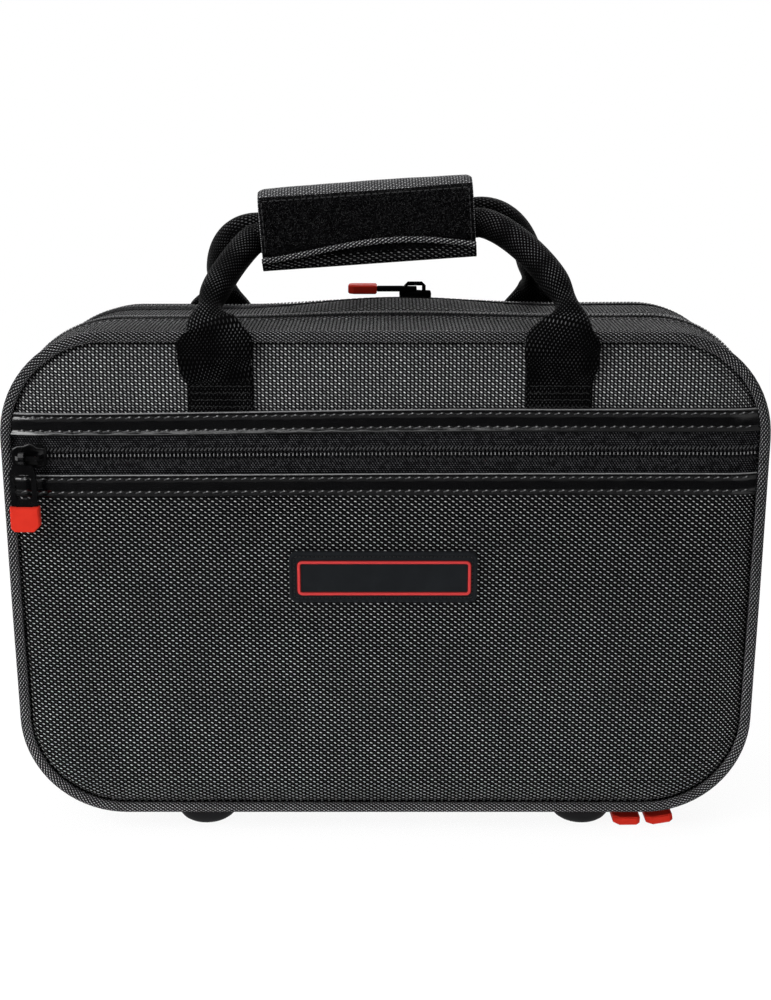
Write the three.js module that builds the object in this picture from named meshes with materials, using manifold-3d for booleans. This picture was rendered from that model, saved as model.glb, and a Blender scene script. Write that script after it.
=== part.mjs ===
// A soft zipped clarinet case, standing upright on four rubber feet, in millimetres.
// +X is to the right seen from the front, +Y runs from the front to the rear, +Z is up.
// The origin is on the floor, under the middle of the case.
import * as THREE from "three";
import { mergeVertices } from "three/addons/utils/BufferGeometryUtils.js";
import Module from "manifold-3d";

const wasm = await Module();
wasm.setup();

// The closed case without its feet: the box round its piping
const caseWidth = 350;
const caseHeight = 235;
const caseDepth = 112;
const cornerRadius = 49;
const depthShift = 2;
const lidDepth = 53;
const zipEndInset = 16;

// The soft outline: how far the sides belly out at the zip, and how the top swells
// towards the rear, with shoulders that rise to the right and a hump in the middle
const sideBelly = 5.4;
const bottomBelly = 1;
const sideBellyRiseShare = 0.5;
const topBellyShare = 0.2;
const shoulderRise = 1.3;
const shoulderLeanShare = 1.1;
const humpRise = 5;
const humpX = 5;
const humpHalfLength = 85;
const crestStartShare = 0.28;
const crestPeakShare = 0.76;

// Clearances between neighbouring pieces, and the overrun of every cut
const gap = 0.3;
const seam = 0.15;
const overrun = 5;

// Covers, piping and foam
const pipingRadius = 2.3;
const pipingProud = 1.6;
const panelThickness = 1.5;
const panelSetback = 3;
const panelCrown = 3;
const panelRun = 24;
const gussetThickness = 1.6;
const wallThickness = 1.2;
const foamWall = 12;
const foamFloor = 9;
const padThickness = 5;
const padCrown = 3;
const padRun = 20;

// Main zip between the two halves
const zipMargin = 8;
const tapeThickness = 0.8;
const tapeSink = 0.2;
const coilHalfWidth = 2.5;
const coilProud = 1.8;
const coilChamfer = 0.4;
const coilShoulder = 1.2;

// Front pocket zip and its two trim strips, in heights above the bottom of the case
const pocketZipHeight = 178.8;
const pocketOpening = 18.2;
const trimWidth = 10.3;
const trimThickness = 1.2;
const pocketTapeSink = 0.5;

// Straight zip of the rear document pocket, in the top of the rear half
const topZipInset = 15;
const topTapeWidth = 8.5;
const topCoilProud = 1;
const topSliderLift = 1.25;

// Rubber feet
const footHeight = 12;
const footRadius = 15;
const footSoleRadius = 7;
const footInset = 23;
const leftFootInset = 37;
const rightFootInset = 28.5;

// Badge on the front, left plain
const badgeWidth = 87;
const badgeHeight = 22.5;
const badgeThickness = 1.8;
const badgeCorner = 3;
const badgeDrop = 58.1;
const badgeFrameInset = 2.8;
const badgeFrameLine = 1;
const badgeFrameThickness = 0.6;

// Handles: sewn tabs of webbing, and the loops that fold into round grips
const webbingWidth = 30;
const webbingThickness = 2.2;
const gripRadius = 7;
const gripSpread = 6.9;
const frontGripDrop = 4.5;
const gripOverhang = 3;
const foldLift = 1.4;
const foldRise = 1;
const rearFoldRise = 1.2;
const foldShares = { flatUntil: 0.04, roundFrom: 0.32, flatPower: 0.25 };

// How far each tab stands in from the corner at its end, and the curves of the legs:
// shares of the way out to the tab, and of the way up to the grip
const frontTabInset = { left: 52, right: 48 };
const rearTabInset = { left: 42, right: 50 };
const frontLegShares = { left: [[2.3, 0.2], [0.3, 0.97]], right: [[1.45, 0.2], [0.45, 0.95]] };
const rearLegShares = { left: [[1, 0.6], [0.5, 1]], right: [[1, 0.6], [0.5, 1]] };

// The padded wrap that holds both grips
const wrapLength = 100;
const wrapX = -8.6;
const wrapRise = 45.9;
const wrapTilt = THREE.MathUtils.degToRad(4);
const wrapHeight = 35;
const wrapBack = 18;
const wrapFront = 15.5;
const wrapCorner = 9;
const wrapHollowWidth = 28.4;
const wrapHollowHeight = 24;
const wrapHollowCorner = 6;
const wrapSlit = 0.6;
const loopPanelHeight = 21;
const loopPanelLift = 1.5;
const loopPanelThickness = 1.2;
const hookThickness = 0.8;
const hookHeight = 6;
const hookRelief = 1;
const flapThickness = 1.6;
const flapBend = 8;

// Zip sliders
const sliderLength = 14;
const sliderWidth = 10;
const sliderThickness = 2.2;
const sliderCorner = 2;
const bridgeBar = 1.9;
const bridgeInnerHalf = 3.6;
const bridgeRise = 3.3;
const topBridgeRise = 3.95;
const pocketSliderInset = 13.5;
const mainSliderInset = 7;
const mainSliderAngle = THREE.MathUtils.degToRad(9);
const topSliderX = 15;

// Zip pulls: a window frame with an eye at one end and a moulded cap on the other
const pullReach = 34;
const mainPullReach = 43;
const pullWidth = 12;
const pullThickness = 1.8;
const pullCorner = 1.6;
const pullWindowWidth = 7.4;
const pullWindowStart = 7.5;
const pullWindowMargin = 3.3;
const eyeOuter = 3;
const eyeInner = 1.7;
const eyeEdge = 0.475;
const eyeLength = 2.4;
const endBarHalf = 0.85;
const endBarRise = 1.35;
const eyeSlotHalf = 1.5;
const eyeSlotEnd = 6.8;
const eyeNeckWidth = 8.4;
const capWidth = 13.2;
const capLength = 11.7;
const topCapLength = 14.6;
const capThickness = 4.4;
const capChamfer = 2.4;
const capBevel = 0.7;
const capWall = 3;
const tongueWidth = 7.2;
const pocketPullShift = 2.2;
const mainPullDroop = THREE.MathUtils.degToRad(3.6);
const mainPullSplay = THREE.MathUtils.degToRad(1);

// Recesses of the instrument tray: centre, length and width in the tray's face, and depth
const lowerJoint = { x: 0, z: 41, length: 268, width: 38, depth: 38 };
const upperJoint = { x: -33, z: 89, length: 238, width: 38, depth: 38 };
const barrel = { x: 127, z: 89, length: 66, width: 36, depth: 32 };
const mouthpiece = { x: 18, z: 187, length: 96, width: 38, depth: 32 };
const ligature = { x: 116, z: 187, length: 80, width: 38, depth: 32 };
const accessories = { x: 63, z: 138, length: 186, width: 40, depth: 36 };
const bell = { x: -96, z: 164, length: 112, width: 84, throat: 50, depth: 43 };

// How finely round things are divided
const cornerSteps = 6;
const sideSteps = 4;
const topSteps = 4;
const lidGussetSteps = 3;
const baseGussetSteps = 4;
const pipingSides = 8;
const gripSides = 12;
const legSteps = 9;
const footSteps = 18;
const troughSteps = 8;
const curveSteps = 4;

const frontY = depthShift - caseDepth / 2;
const rearY = frontY + caseDepth;
const zipY = frontY + lidDepth;
const bottomZ = footHeight;
const topZ = bottomZ + caseHeight;
const cornerX = caseWidth / 2 - cornerRadius;
const zipEndX = cornerX - zipEndInset;
const topZipY = rearY - topZipInset;
const footX = { left: leftFootInset - cornerX, right: cornerX - rightFootInset };
const badgeZ = pocketZipHeight - badgeDrop;
const wrapZ = caseHeight + wrapRise;
const pocketSliderX = pocketSliderInset - caseWidth / 2;
const mainSliderX = cornerX - mainSliderInset;
const liningInset = gussetThickness + 2 * gap;
const seamInset = 2 * pipingRadius - pipingProud + gap;
const { lerp, smoothstep } = THREE.MathUtils;

const finishes = {
  nylon: { color: 0x35373b, roughness: 0.75, metalness: 0 },
  webbing: { color: 0x121214, roughness: 0.85, metalness: 0 },
  coil: { color: 0x0b0b0d, roughness: 0.4, metalness: 0 },
  trim: { color: 0x0e0e10, roughness: 0.3, metalness: 0 },
  metal: { color: 0x0c0c0d, roughness: 0.35, metalness: 0.6 },
  red: { color: 0xd81610, roughness: 0.45, metalness: 0 },
  rubber: { color: 0x101011, roughness: 0.7, metalness: 0 },
  foam: { color: 0x2a2a2e, roughness: 0.95, metalness: 0 },
  plush: { color: 0x1c1c20, roughness: 1, metalness: 0 },
  fuzzy: { color: 0x09090a, roughness: 1, metalness: 0 },
};
const materials = {};
for (const [name, look] of Object.entries(finishes)) {
  materials[name] = new THREE.MeshStandardMaterial(look);
}

// A closed geometry from points and triangles, turned so that its faces point out.
function closedGeometry(points, triangles) {
  const geometry = new THREE.BufferGeometry();
  geometry.setAttribute("position", new THREE.Float32BufferAttribute(points.flat(), 3));
  let volume = 0;
  for (const [a, b, c] of triangles) {
    const [p, q, r] = [a, b, c].map((i) => new THREE.Vector3(...points[i]));
    volume += p.dot(q.cross(r));
  }
  const turned = volume < 0 ? triangles.map(([a, b, c]) => [a, c, b]) : triangles;
  geometry.setIndex(turned.flat());
  return geometry;
}

// The solid of a closed geometry, for cuts and joins.
function solidOf(geometry) {
  const bare = geometry.clone();
  bare.deleteAttribute("normal");
  bare.deleteAttribute("uv");
  const merged = mergeVertices(bare);
  const vertProperties = new Float32Array(merged.attributes.position.array);
  const triVerts = new Uint32Array(merged.index.array);
  return new wasm.Manifold(new wasm.Mesh({ numProp: 3, vertProperties, triVerts }));
}

function geometryOf(solid) {
  const mesh = solid.getMesh();
  const geometry = new THREE.BufferGeometry();
  geometry.setAttribute("position", new THREE.BufferAttribute(mesh.vertProperties, 3));
  geometry.setIndex(new THREE.BufferAttribute(mesh.triVerts, 1));
  return geometry;
}

function cut(geometry, ...cutters) {
  return geometryOf(cutters.reduce((left, c) => left.subtract(solidOf(c)), solidOf(geometry)));
}

function join(geometry, ...others) {
  return geometryOf(others.reduce((all, o) => all.add(solidOf(o)), solidOf(geometry)));
}

// What is left of a geometry between two heights.
function between(geometry, low, high) {
  const slab = block(caseWidth * 2, caseDepth * 2, high - low);
  slab.translate(0, 0, (low + high) / 2);
  return geometryOf(solidOf(geometry).intersect(solidOf(slab)));
}

function block(x, y, z) {
  return new THREE.BoxGeometry(x, y, z);
}

// Skins two or more rings of points, alike in count, into one closed body.
// A loose end is closed by the triangles of its own outline.
function loft(rings, capFaces) {
  const points = rings.flat();
  const count = rings[0].length;
  const triangles = [];
  for (let k = 0; k + 1 < rings.length; k++) {
    for (let i = 0; i < count; i++) {
      const a = k * count + i;
      const b = k * count + ((i + 1) % count);
      triangles.push([a, b, b + count], [a, b + count, a + count]);
    }
  }
  const last = (rings.length - 1) * count;
  for (const [a, b, c] of capFaces) {
    triangles.push([c, b, a], [last + a, last + b, last + c]);
  }
  return closedGeometry(points, triangles);
}

// The triangles that fill a flat outline, turned the way that the outline runs.
function flatFaces(outline) {
  const contour = outline.map(([u, v]) => new THREE.Vector2(u, v));
  const clockwise = THREE.ShapeUtils.isClockWise(contour);
  const faces = THREE.ShapeUtils.triangulateShape(contour, []);
  return clockwise ? faces.map(([a, b, c]) => [a, c, b]) : faces;
}

// Half of the case's outline, from the middle of the bottom round to the middle of the top.
// Each station has its place and normal, and its shares of the belly and of the crest.
function halfOutline() {
  const halfWidth = caseWidth / 2 - pipingProud;
  const radius = cornerRadius - pipingProud;
  const low = bottomZ + pipingProud;
  const high = topZ - pipingProud;
  const flatShare = bottomBelly / sideBelly;
  const stations = [0, zipEndX].map((x) => ({ x, z: low, nx: 0, nz: -1, belly: flatShare, crest: 0 }));
  for (let k = 0; k <= cornerSteps; k++) {
    const angle = ((k / cornerSteps - 1) * Math.PI) / 2;
    const [nx, nz] = [Math.cos(angle), Math.sin(angle)];
    const place = { x: cornerX + radius * nx, z: low + radius + radius * nz };
    stations.push({ ...place, nx, nz, belly: flatShare, crest: 0 });
  }
  for (let k = 1; k < sideSteps; k++) {
    const share = k / sideSteps;
    const belly = lerp(flatShare, 1, smoothstep(share, 0, sideBellyRiseShare));
    const z = lerp(low + radius, high - radius, share);
    stations.push({ x: halfWidth, z, nx: 1, nz: 0, belly, crest: 0 });
  }
  for (let k = 0; k <= cornerSteps; k++) {
    const angle = ((k / cornerSteps) * Math.PI) / 2;
    const [nx, nz] = [Math.cos(angle), Math.sin(angle)];
    const place = { x: cornerX + radius * nx, z: high - radius + radius * nz };
    stations.push({ ...place, nx, nz, belly: lerp(1, topBellyShare, nz ** 2), crest: nz ** 2 });
  }
  for (let k = 1; k <= topSteps; k++) {
    const x = cornerX * (1 - k / topSteps);
    stations.push({ x, z: high, nx: 0, nz: 1, belly: topBellyShare, crest: 1 });
  }
  return stations;
}

const rightHalf = halfOutline();
const mirrored = ({ x, nx, ...rest }) => ({ ...rest, x: -x, nx: -nx });
const leftHalf = rightHalf.slice(1, -1).reverse().map(mirrored);
const outline = [...rightHalf, ...leftHalf];
const zipStart = 1;
const zipFinish = outline.length - 1;
const topCornerStart = 2 + cornerSteps + sideSteps;
const topZipStart = topCornerStart + cornerSteps / 2;
const topZipFinish = outline.length - topZipStart;

// How full the belly and the crest are at depth y.
function bellyAt(y) {
  const run = y < zipY ? lidDepth : caseDepth - lidDepth;
  return 1 - ((y - zipY) / run) ** 2;
}

function crestAt(y) {
  const share = (y - frontY) / caseDepth;
  const rising = smoothstep(share, crestStartShare, crestPeakShare);
  return share < crestPeakShare ? rising : smoothstep(1 - share, 0, 1 - crestPeakShare);
}

// How far the crest rises at a place along the case.
function crestRise(x) {
  const aside = Math.min(Math.abs(x - humpX) / humpHalfLength, 1);
  const hump = humpRise * Math.cos((aside * Math.PI) / 2) ** 2;
  return shoulderRise * (1 + (shoulderLeanShare * x) / cornerX) + hump;
}

// A point of the case's skin at one station and depth, moved out by some distance.
function skinPoint(station, y, out) {
  const off = out + sideBelly * station.belly * bellyAt(y);
  const lift = station.crest * crestRise(station.x) * crestAt(y);
  return [station.x + station.nx * off, y, station.z + station.nz * off + lift];
}

function skinRing(y, out) {
  return outline.map((station) => skinPoint(station, y, out));
}

// The height of the skin's top and bottom at a place along the case.
function topSkinZ(x, y) {
  return topZ - pipingProud + sideBelly * topBellyShare * bellyAt(y) + crestRise(x) * crestAt(y);
}

function bottomSkinZ(y) {
  return bottomZ + pipingProud - bottomBelly * bellyAt(y);
}

// A band whose profile, points of depth and distance out, runs all round the skin.
function ringBand(profile) {
  const rings = outline.map((station) => profile.map(([y, out]) => skinPoint(station, y, out)));
  return loft([...rings, rings[0]], []);
}

// The same for a stretch of the skin between two stations, with closed ends.
function openBand(profile, first, last) {
  const stretch = outline.slice(first, last + 1);
  const rings = stretch.map((station) => profile.map(([y, out]) => skinPoint(station, y, out)));
  return loft(rings, flatFaces(profile));
}

// A solid that fills the skin between depths, moved in by some distance.
function plug(depths, inset) {
  const rings = depths.map((y) => skinRing(y, -inset));
  return loft(rings, flatFaces(rings[0].map(([x, , z]) => [x, z])));
}

// A sheet that fills the skin's outline and swells towards the side that it faces.
const runShares = [0, 0.17, 0.38, 0.65, 1];
function crownedSheet({ y, facing, inset, thickness, crown, run, ringShares = runShares }) {
  const faceRings = ringShares.map((share) => {
    const depth = y + facing * crown * (1 - (1 - share) ** 2);
    return { depth, inset: inset + run * share };
  });
  const outer = faceRings.map((ring) => skinRing(ring.depth, -ring.inset));
  const inner = faceRings.map((ring) => skinRing(ring.depth - facing * thickness, -ring.inset));
  const rings = [...outer.reverse(), ...inner];
  return loft(rings, flatFaces(rings[0].map(([x, , z]) => [x, z])));
}

// A prism of a side profile, points of depth and height, centred on x.
function sideProfile(profile, x, width) {
  const ends = [x - width / 2, x + width / 2];
  const rings = ends.map((end) => profile.map(([y, z]) => [end, y, z]));
  return loft(rings, flatFaces(profile));
}

function roundedRectangle(width, height, radius) {
  const [right, up] = [width / 2, height / 2];
  const shape = new THREE.Shape();
  shape.moveTo(radius - right, -up);
  shape.absarc(right - radius, radius - up, radius, -Math.PI / 2, 0);
  shape.absarc(right - radius, up - radius, radius, 0, Math.PI / 2);
  shape.absarc(radius - right, up - radius, radius, Math.PI / 2, Math.PI);
  shape.absarc(radius - right, radius - up, radius, Math.PI, Math.PI * 1.5);
  return shape;
}

function extrude(shape, depth, steps = curveSteps) {
  return new THREE.ExtrudeGeometry(shape, { depth, bevelEnabled: false, curveSegments: steps });
}

const group = new THREE.Group();
const lid = new THREE.Group();
const base = new THREE.Group();
group.add(lid, base);

function addPiece(parent, name, geometry, finish) {
  const mesh = new THREE.Mesh(geometry, materials[finish]);
  mesh.name = name;
  parent.add(mesh);
  return mesh;
}

// Piping: a covered cord round the edge of the front or rear panel.
function piping(edgeY, inward) {
  const centreY = edgeY + inward * pipingRadius;
  const profile = [];
  for (let k = 0; k < pipingSides; k++) {
    const angle = ((k + 1 / 2) / pipingSides) * 2 * Math.PI;
    const along = centreY + pipingRadius * Math.cos(angle);
    profile.push([along, pipingProud - pipingRadius + pipingRadius * Math.sin(angle)]);
  }
  return ringBand(profile);
}

// The gusset is the cover of the four narrow sides, from the piping to the zip.
function gusset(fromY, toY, steps) {
  const depths = Array.from({ length: steps + 1 }, (_, k) => lerp(fromY, toY, k / steps));
  const outside = depths.map((y) => [y, 0]);
  const inside = depths.map((y) => [y, -gussetThickness]).reverse();
  return ringBand([...outside, ...inside]);
}

// Half of a coil zip: the tape and its row of coils along the zip's middle plane.
function zipHalf(middleY, side, tapeTop, tapeWidth, proud) {
  const tapeEnd = middleY + side * tapeWidth;
  const coilEnd = middleY + side * coilHalfWidth;
  const coilFace = middleY + side * seam;
  const coilTop = tapeTop + proud;
  return [
    [tapeEnd, tapeTop - tapeThickness],
    [tapeEnd, tapeTop],
    [coilEnd, tapeTop],
    [coilEnd - side * coilChamfer, coilTop - coilChamfer],
    [coilEnd - side * coilShoulder, coilTop],
    [coilFace, coilTop - coilChamfer],
    [coilFace, tapeTop - tapeThickness],
  ];
}

const frontFaceY = frontY + panelSetback;
const rearFaceY = rearY - panelSetback;
const frontWallY = frontFaceY + panelThickness + gap;
const rearWallY = rearFaceY - panelThickness - gap;
const lidFoamFrontY = frontWallY + wallThickness + gap;
const lidFloorY = lidFoamFrontY + foamFloor;
const baseFoamRearY = rearWallY - wallThickness - gap;
const gussetFrontY = frontY + 2 * pipingRadius + gap;
const gussetRearY = rearY - 2 * pipingRadius - gap;

const frontSheet = {
  y: frontFaceY,
  facing: -1,
  inset: seamInset,
  thickness: panelThickness,
  crown: panelCrown,
  run: panelRun,
};

// Front panels either side of the pocket zip, the trims over their edges and the zip itself.
function buildFront() {
  const zipZ = bottomZ + pocketZipHeight;
  const halfOpening = pocketOpening / 2;
  const panelEdge = halfOpening + trimWidth / 2;
  const cover = crownedSheet(frontSheet);
  addPiece(lid, "front_upper_panel", between(cover, zipZ + panelEdge, topZ + overrun), "nylon");
  addPiece(lid, "front_pocket_panel", between(cover, bottomZ - overrun, zipZ - panelEdge), "nylon");

  const trimSheet = { ...frontSheet, y: frontFaceY - gap - trimThickness, thickness: trimThickness };
  const trims = crownedSheet(trimSheet);
  const trimEnd = halfOpening + trimWidth;
  addPiece(lid, "upper_trim_strip", between(trims, zipZ + halfOpening, zipZ + trimEnd), "trim");
  addPiece(lid, "lower_trim_strip", between(trims, zipZ - trimEnd, zipZ - halfOpening), "trim");

  const tapeY = frontFaceY + pocketTapeSink;
  const tape = crownedSheet({ ...frontSheet, y: tapeY, thickness: tapeThickness });
  const coilSheet = { ...frontSheet, y: tapeY - coilProud, thickness: coilProud + tapeThickness };
  const coil = crownedSheet(coilSheet);
  for (const [name, side] of [["upper", 1], ["lower", -1]]) {
    const slice = (sheet, from, to) => {
      const ends = [zipZ + side * from, zipZ + side * to].sort((a, b) => a - b);
      return between(sheet, ...ends);
    };
    const half = join(slice(tape, seam, panelEdge - gap), slice(coil, seam, coilHalfWidth));
    addPiece(lid, `pocket_zip_${name}_tape`, half, "coil");
  }
}

// The two halves' shells: walls behind the panels, gussets, piping and foam.
function buildShells() {
  const wallDepths = [frontWallY, frontWallY + wallThickness];
  addPiece(lid, "pocket_inner_wall", plug(wallDepths, seamInset), "nylon");
  addPiece(lid, "front_piping", piping(frontY, 1), "nylon");
  addPiece(lid, "lid_gusset", gusset(gussetFrontY, zipY - zipMargin, lidGussetSteps), "nylon");
  const lidMouthY = zipY - gap;
  const lidBody = plug([lidFoamFrontY, lerp(lidFoamFrontY, lidMouthY, 1 / 2), lidMouthY], liningInset);
  const cavityInset = liningInset + foamWall;
  const cavity = plug([lidFloorY, lerp(lidFloorY, lidMouthY, 1 / 2), zipY + overrun], cavityInset);
  addPiece(lid, "lid_foam_shell", cut(lidBody, cavity), "foam");
  const pad = crownedSheet({
    y: lidFloorY + gap + padThickness,
    facing: 1,
    inset: cavityInset + gap,
    thickness: padThickness,
    crown: padCrown,
    run: padRun,
    ringShares: [0, 1 / 3, 1],
  });
  addPiece(lid, "lid_plush_pad", pad, "plush");

  const cover = { ...frontSheet, y: rearFaceY, facing: 1, ringShares: [0, 1 / 3, 1] };
  addPiece(base, "rear_panel", crownedSheet(cover), "nylon");
  addPiece(base, "rear_pocket_wall", plug([rearWallY - wallThickness, rearWallY], seamInset), "nylon");
  addPiece(base, "rear_piping", piping(rearY, -1), "nylon");
  addPiece(base, "base_gusset", gusset(zipY + zipMargin, gussetRearY, baseGussetSteps), "nylon");
}

// A trough cut into the tray's face along x, with a round bottom, from one width to another.
function trough({ x, z, length, width, depth, throat = width }) {
  const faceY = zipY - overrun;
  const section = (endX, w) => {
    const floorY = zipY + depth - (width - w) / 2;
    const ring = [[endX, faceY, bottomZ + z - w / 2]];
    for (let k = 0; k <= troughSteps; k++) {
      const angle = (k / troughSteps) * Math.PI;
      const y = floorY - w / 2 + (w / 2) * Math.sin(angle);
      ring.push([endX, y, bottomZ + z - (w / 2) * Math.cos(angle)]);
    }
    ring.push([endX, faceY, bottomZ + z + w / 2]);
    return ring;
  };
  const rings = [section(x - length / 2, width), section(x + length / 2, throat)];
  return loft(rings, flatFaces(rings[0].map(([, y, v]) => [y, v])));
}

// The instrument tray that fills the base, with a recess for each part of the instrument.
function buildTray() {
  const mouthY = zipY + gap;
  const depths = [mouthY, lerp(mouthY, baseFoamRearY, 1 / 2), baseFoamRearY];
  const wells = [lowerJoint, upperJoint, barrel, mouthpiece, ligature, bell].map(trough);
  const box = block(accessories.length, accessories.depth + overrun, accessories.width);
  const boxY = zipY + (accessories.depth - overrun) / 2;
  box.translate(accessories.x, boxY, bottomZ + accessories.z);
  addPiece(base, "instrument_tray", cut(plug(depths, liningInset), ...wells, box), "foam");
}

// The main zip round three sides, the hinge strip along the bottom and the top pocket zip.
function buildZips() {
  const lidHalf = zipHalf(zipY, -1, -tapeSink, zipMargin - gap, coilProud);
  const baseHalf = zipHalf(zipY, 1, -tapeSink, zipMargin - gap, coilProud);
  addPiece(lid, "lid_zip_tape", openBand(lidHalf, zipStart, zipFinish), "coil");
  addPiece(base, "base_zip_tape", openBand(baseHalf, zipStart, zipFinish), "coil");

  const stripZ = bottomSkinZ(zipY) + gussetThickness / 2;
  const strip = block(2 * (zipEndX - gap), 2 * (zipMargin - gap), gussetThickness - gap);
  strip.translate(0, zipY, stripZ);
  addPiece(base, "hinge_strip", strip, "nylon");

  for (const [name, side] of [["front", -1], ["rear", 1]]) {
    const half = zipHalf(topZipY, side, 2 * gap + tapeThickness, topTapeWidth, topCoilProud);
    addPiece(base, `top_zip_${name}_tape`, openBand(half, topZipStart, topZipFinish), "coil");
  }
}

// A domed rubber foot under each corner.
function buildFeet() {
  const rows = [
    ["front", lid, frontY + footInset, footRadius],
    ["rear", base, rearY - footInset, -footRadius],
  ];
  for (const [row, parent, y, towardsZip] of rows) {
    const height = bottomSkinZ(y + towardsZip) - gap;
    const profile = [new THREE.Vector2(0, 0), new THREE.Vector2(footSoleRadius, 0)];
    for (let k = 1; k <= curveSteps; k++) {
      const angle = ((k / curveSteps) * Math.PI) / 2;
      const radius = lerp(footSoleRadius, footRadius, Math.sin(angle));
      profile.push(new THREE.Vector2(radius, (height / 2) * (1 - Math.cos(angle))));
    }
    profile.push(new THREE.Vector2(footRadius, height), new THREE.Vector2(0, height));
    for (const [side, x] of Object.entries(footX)) {
      const foot = new THREE.LatheGeometry(profile, footSteps);
      foot.rotateX(Math.PI / 2);
      const mesh = addPiece(parent, `${row}_foot_${side}`, foot, "rubber");
      mesh.position.set(x, y, 0);
    }
  }
}

// The plain badge, with a thin red frame on its face.
function buildBadge() {
  const backY = frontY - gap;
  const stand = (geometry, y) => {
    geometry.rotateX(Math.PI / 2);
    return geometry.translate(0, y, bottomZ + badgeZ);
  };
  const plate = extrude(roundedRectangle(badgeWidth, badgeHeight, badgeCorner), badgeThickness);
  addPiece(lid, "badge", stand(plate, backY), "rubber");
  const frameWidth = badgeWidth - 2 * badgeFrameInset;
  const frameHeight = badgeHeight - 2 * badgeFrameInset;
  const frame = roundedRectangle(frameWidth, frameHeight, badgeCorner - badgeFrameLine);
  const hole = roundedRectangle(
    frameWidth - 2 * badgeFrameLine,
    frameHeight - 2 * badgeFrameLine,
    badgeFrameLine,
  );
  frame.holes.push(hole);
  const line = extrude(frame, badgeFrameThickness);
  addPiece(lid, "badge_frame", stand(line, backY - badgeThickness - gap), "red");
}

// Webbing tabs sewn to a panel, and the loop that folds out of them into a round grip.
// The loop swings about a fold line just over the tabs' top ends. Each leg follows a curve
// in shares of the way out to its tab and of the way up to the grip.
function buildHandle(name, parent, { side, panelY, foldZ, gripZ, tabInset, legShares }) {
  const tabX = { left: tabInset.left - cornerX, right: cornerX - tabInset.right };
  const tabOuterY = panelY + side * (gap + webbingThickness);
  const tabLow = bottomZ + pocketZipHeight + pocketOpening / 2 + trimWidth + gap;
  const tabHigh = foldZ - foldRise;
  const tabProfile = [
    [panelY + side * gap, tabLow],
    [tabOuterY, tabLow],
    [tabOuterY, tabHigh - webbingThickness / 2],
    [tabOuterY - (side * webbingThickness) / 2, tabHigh],
    [panelY + side * gap, tabHigh],
  ];
  for (const [label, x] of Object.entries(tabX)) {
    addPiece(parent, `${name}_tab_${label}`, sideProfile(tabProfile, x, webbingWidth), "webbing");
  }

  const foldY = tabOuterY + side * foldLift;
  const gripAt = (x) => new THREE.Vector3(x, side * gripSpread, gripZ + (x - wrapX) * Math.tan(wrapTilt));
  const legPlaces = (label, hand) => {
    const endX = wrapX + hand * (wrapLength / 2 + gripOverhang);
    const shares = [[1, 0], ...legShares[label], [0, 1]].map(([u, v]) => new THREE.Vector2(u, v));
    const leg = new THREE.CubicBezierCurve(...shares).getPoints(legSteps);
    return leg.map((point) => ({ x: lerp(endX, tabX[label], point.x), rise: point.y }));
  };
  const places = [
    ...legPlaces("left", -1),
    { x: wrapX, rise: 1 },
    ...legPlaces("right", 1).reverse(),
  ];
  const centres = places.map(({ x, rise }) => {
    const grip = gripAt(x);
    return new THREE.Vector3(x, lerp(foldY, grip.y, rise), lerp(foldZ, grip.z, rise));
  });
  const rings = centres.map((centre, i) => {
    const before = centres[Math.max(i - 1, 0)];
    const after = centres[Math.min(i + 1, centres.length - 1)];
    const grip = gripAt(centre.x);
    const lean = new THREE.Vector3(0, grip.y - foldY, grip.z - foldZ).normalize();
    const atEnd = i === 0 || i === centres.length - 1;
    const tangent = new THREE.Vector3().subVectors(after, before).normalize();
    if (atEnd) tangent.copy(i === 0 ? lean : lean.clone().negate());
    const normal = new THREE.Vector3(1, 0, 0).cross(lean);
    const across = new THREE.Vector3().crossVectors(normal, tangent).normalize();
    const through = new THREE.Vector3().crossVectors(tangent, across).normalize();
    const round = smoothstep(places[i].rise, foldShares.flatUntil, foldShares.roundFrom);
    const halfWidth = lerp(webbingWidth / 2, gripRadius, round);
    const halfThickness = lerp(webbingThickness / 2, gripRadius, round);
    const power = lerp(foldShares.flatPower, 1, round);
    const ring = [];
    for (let k = 0; k < gripSides; k++) {
      const angle = ((k + 1 / 2) / gripSides) * 2 * Math.PI;
      const soften = (v) => Math.sign(v) * Math.abs(v) ** power;
      const point = centre.clone();
      point.addScaledVector(across, halfWidth * soften(Math.cos(angle)));
      point.addScaledVector(through, halfThickness * soften(Math.sin(angle)));
      ring.push(point.toArray());
    }
    return ring;
  });
  const capOutline = rings[0].map((_, k) => {
    const angle = ((k + 1 / 2) / gripSides) * 2 * Math.PI;
    return [Math.cos(angle), Math.sin(angle)];
  });
  addPiece(parent, `${name}_loop`, loft(rings, flatFaces(capOutline)), "webbing");
}

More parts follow.
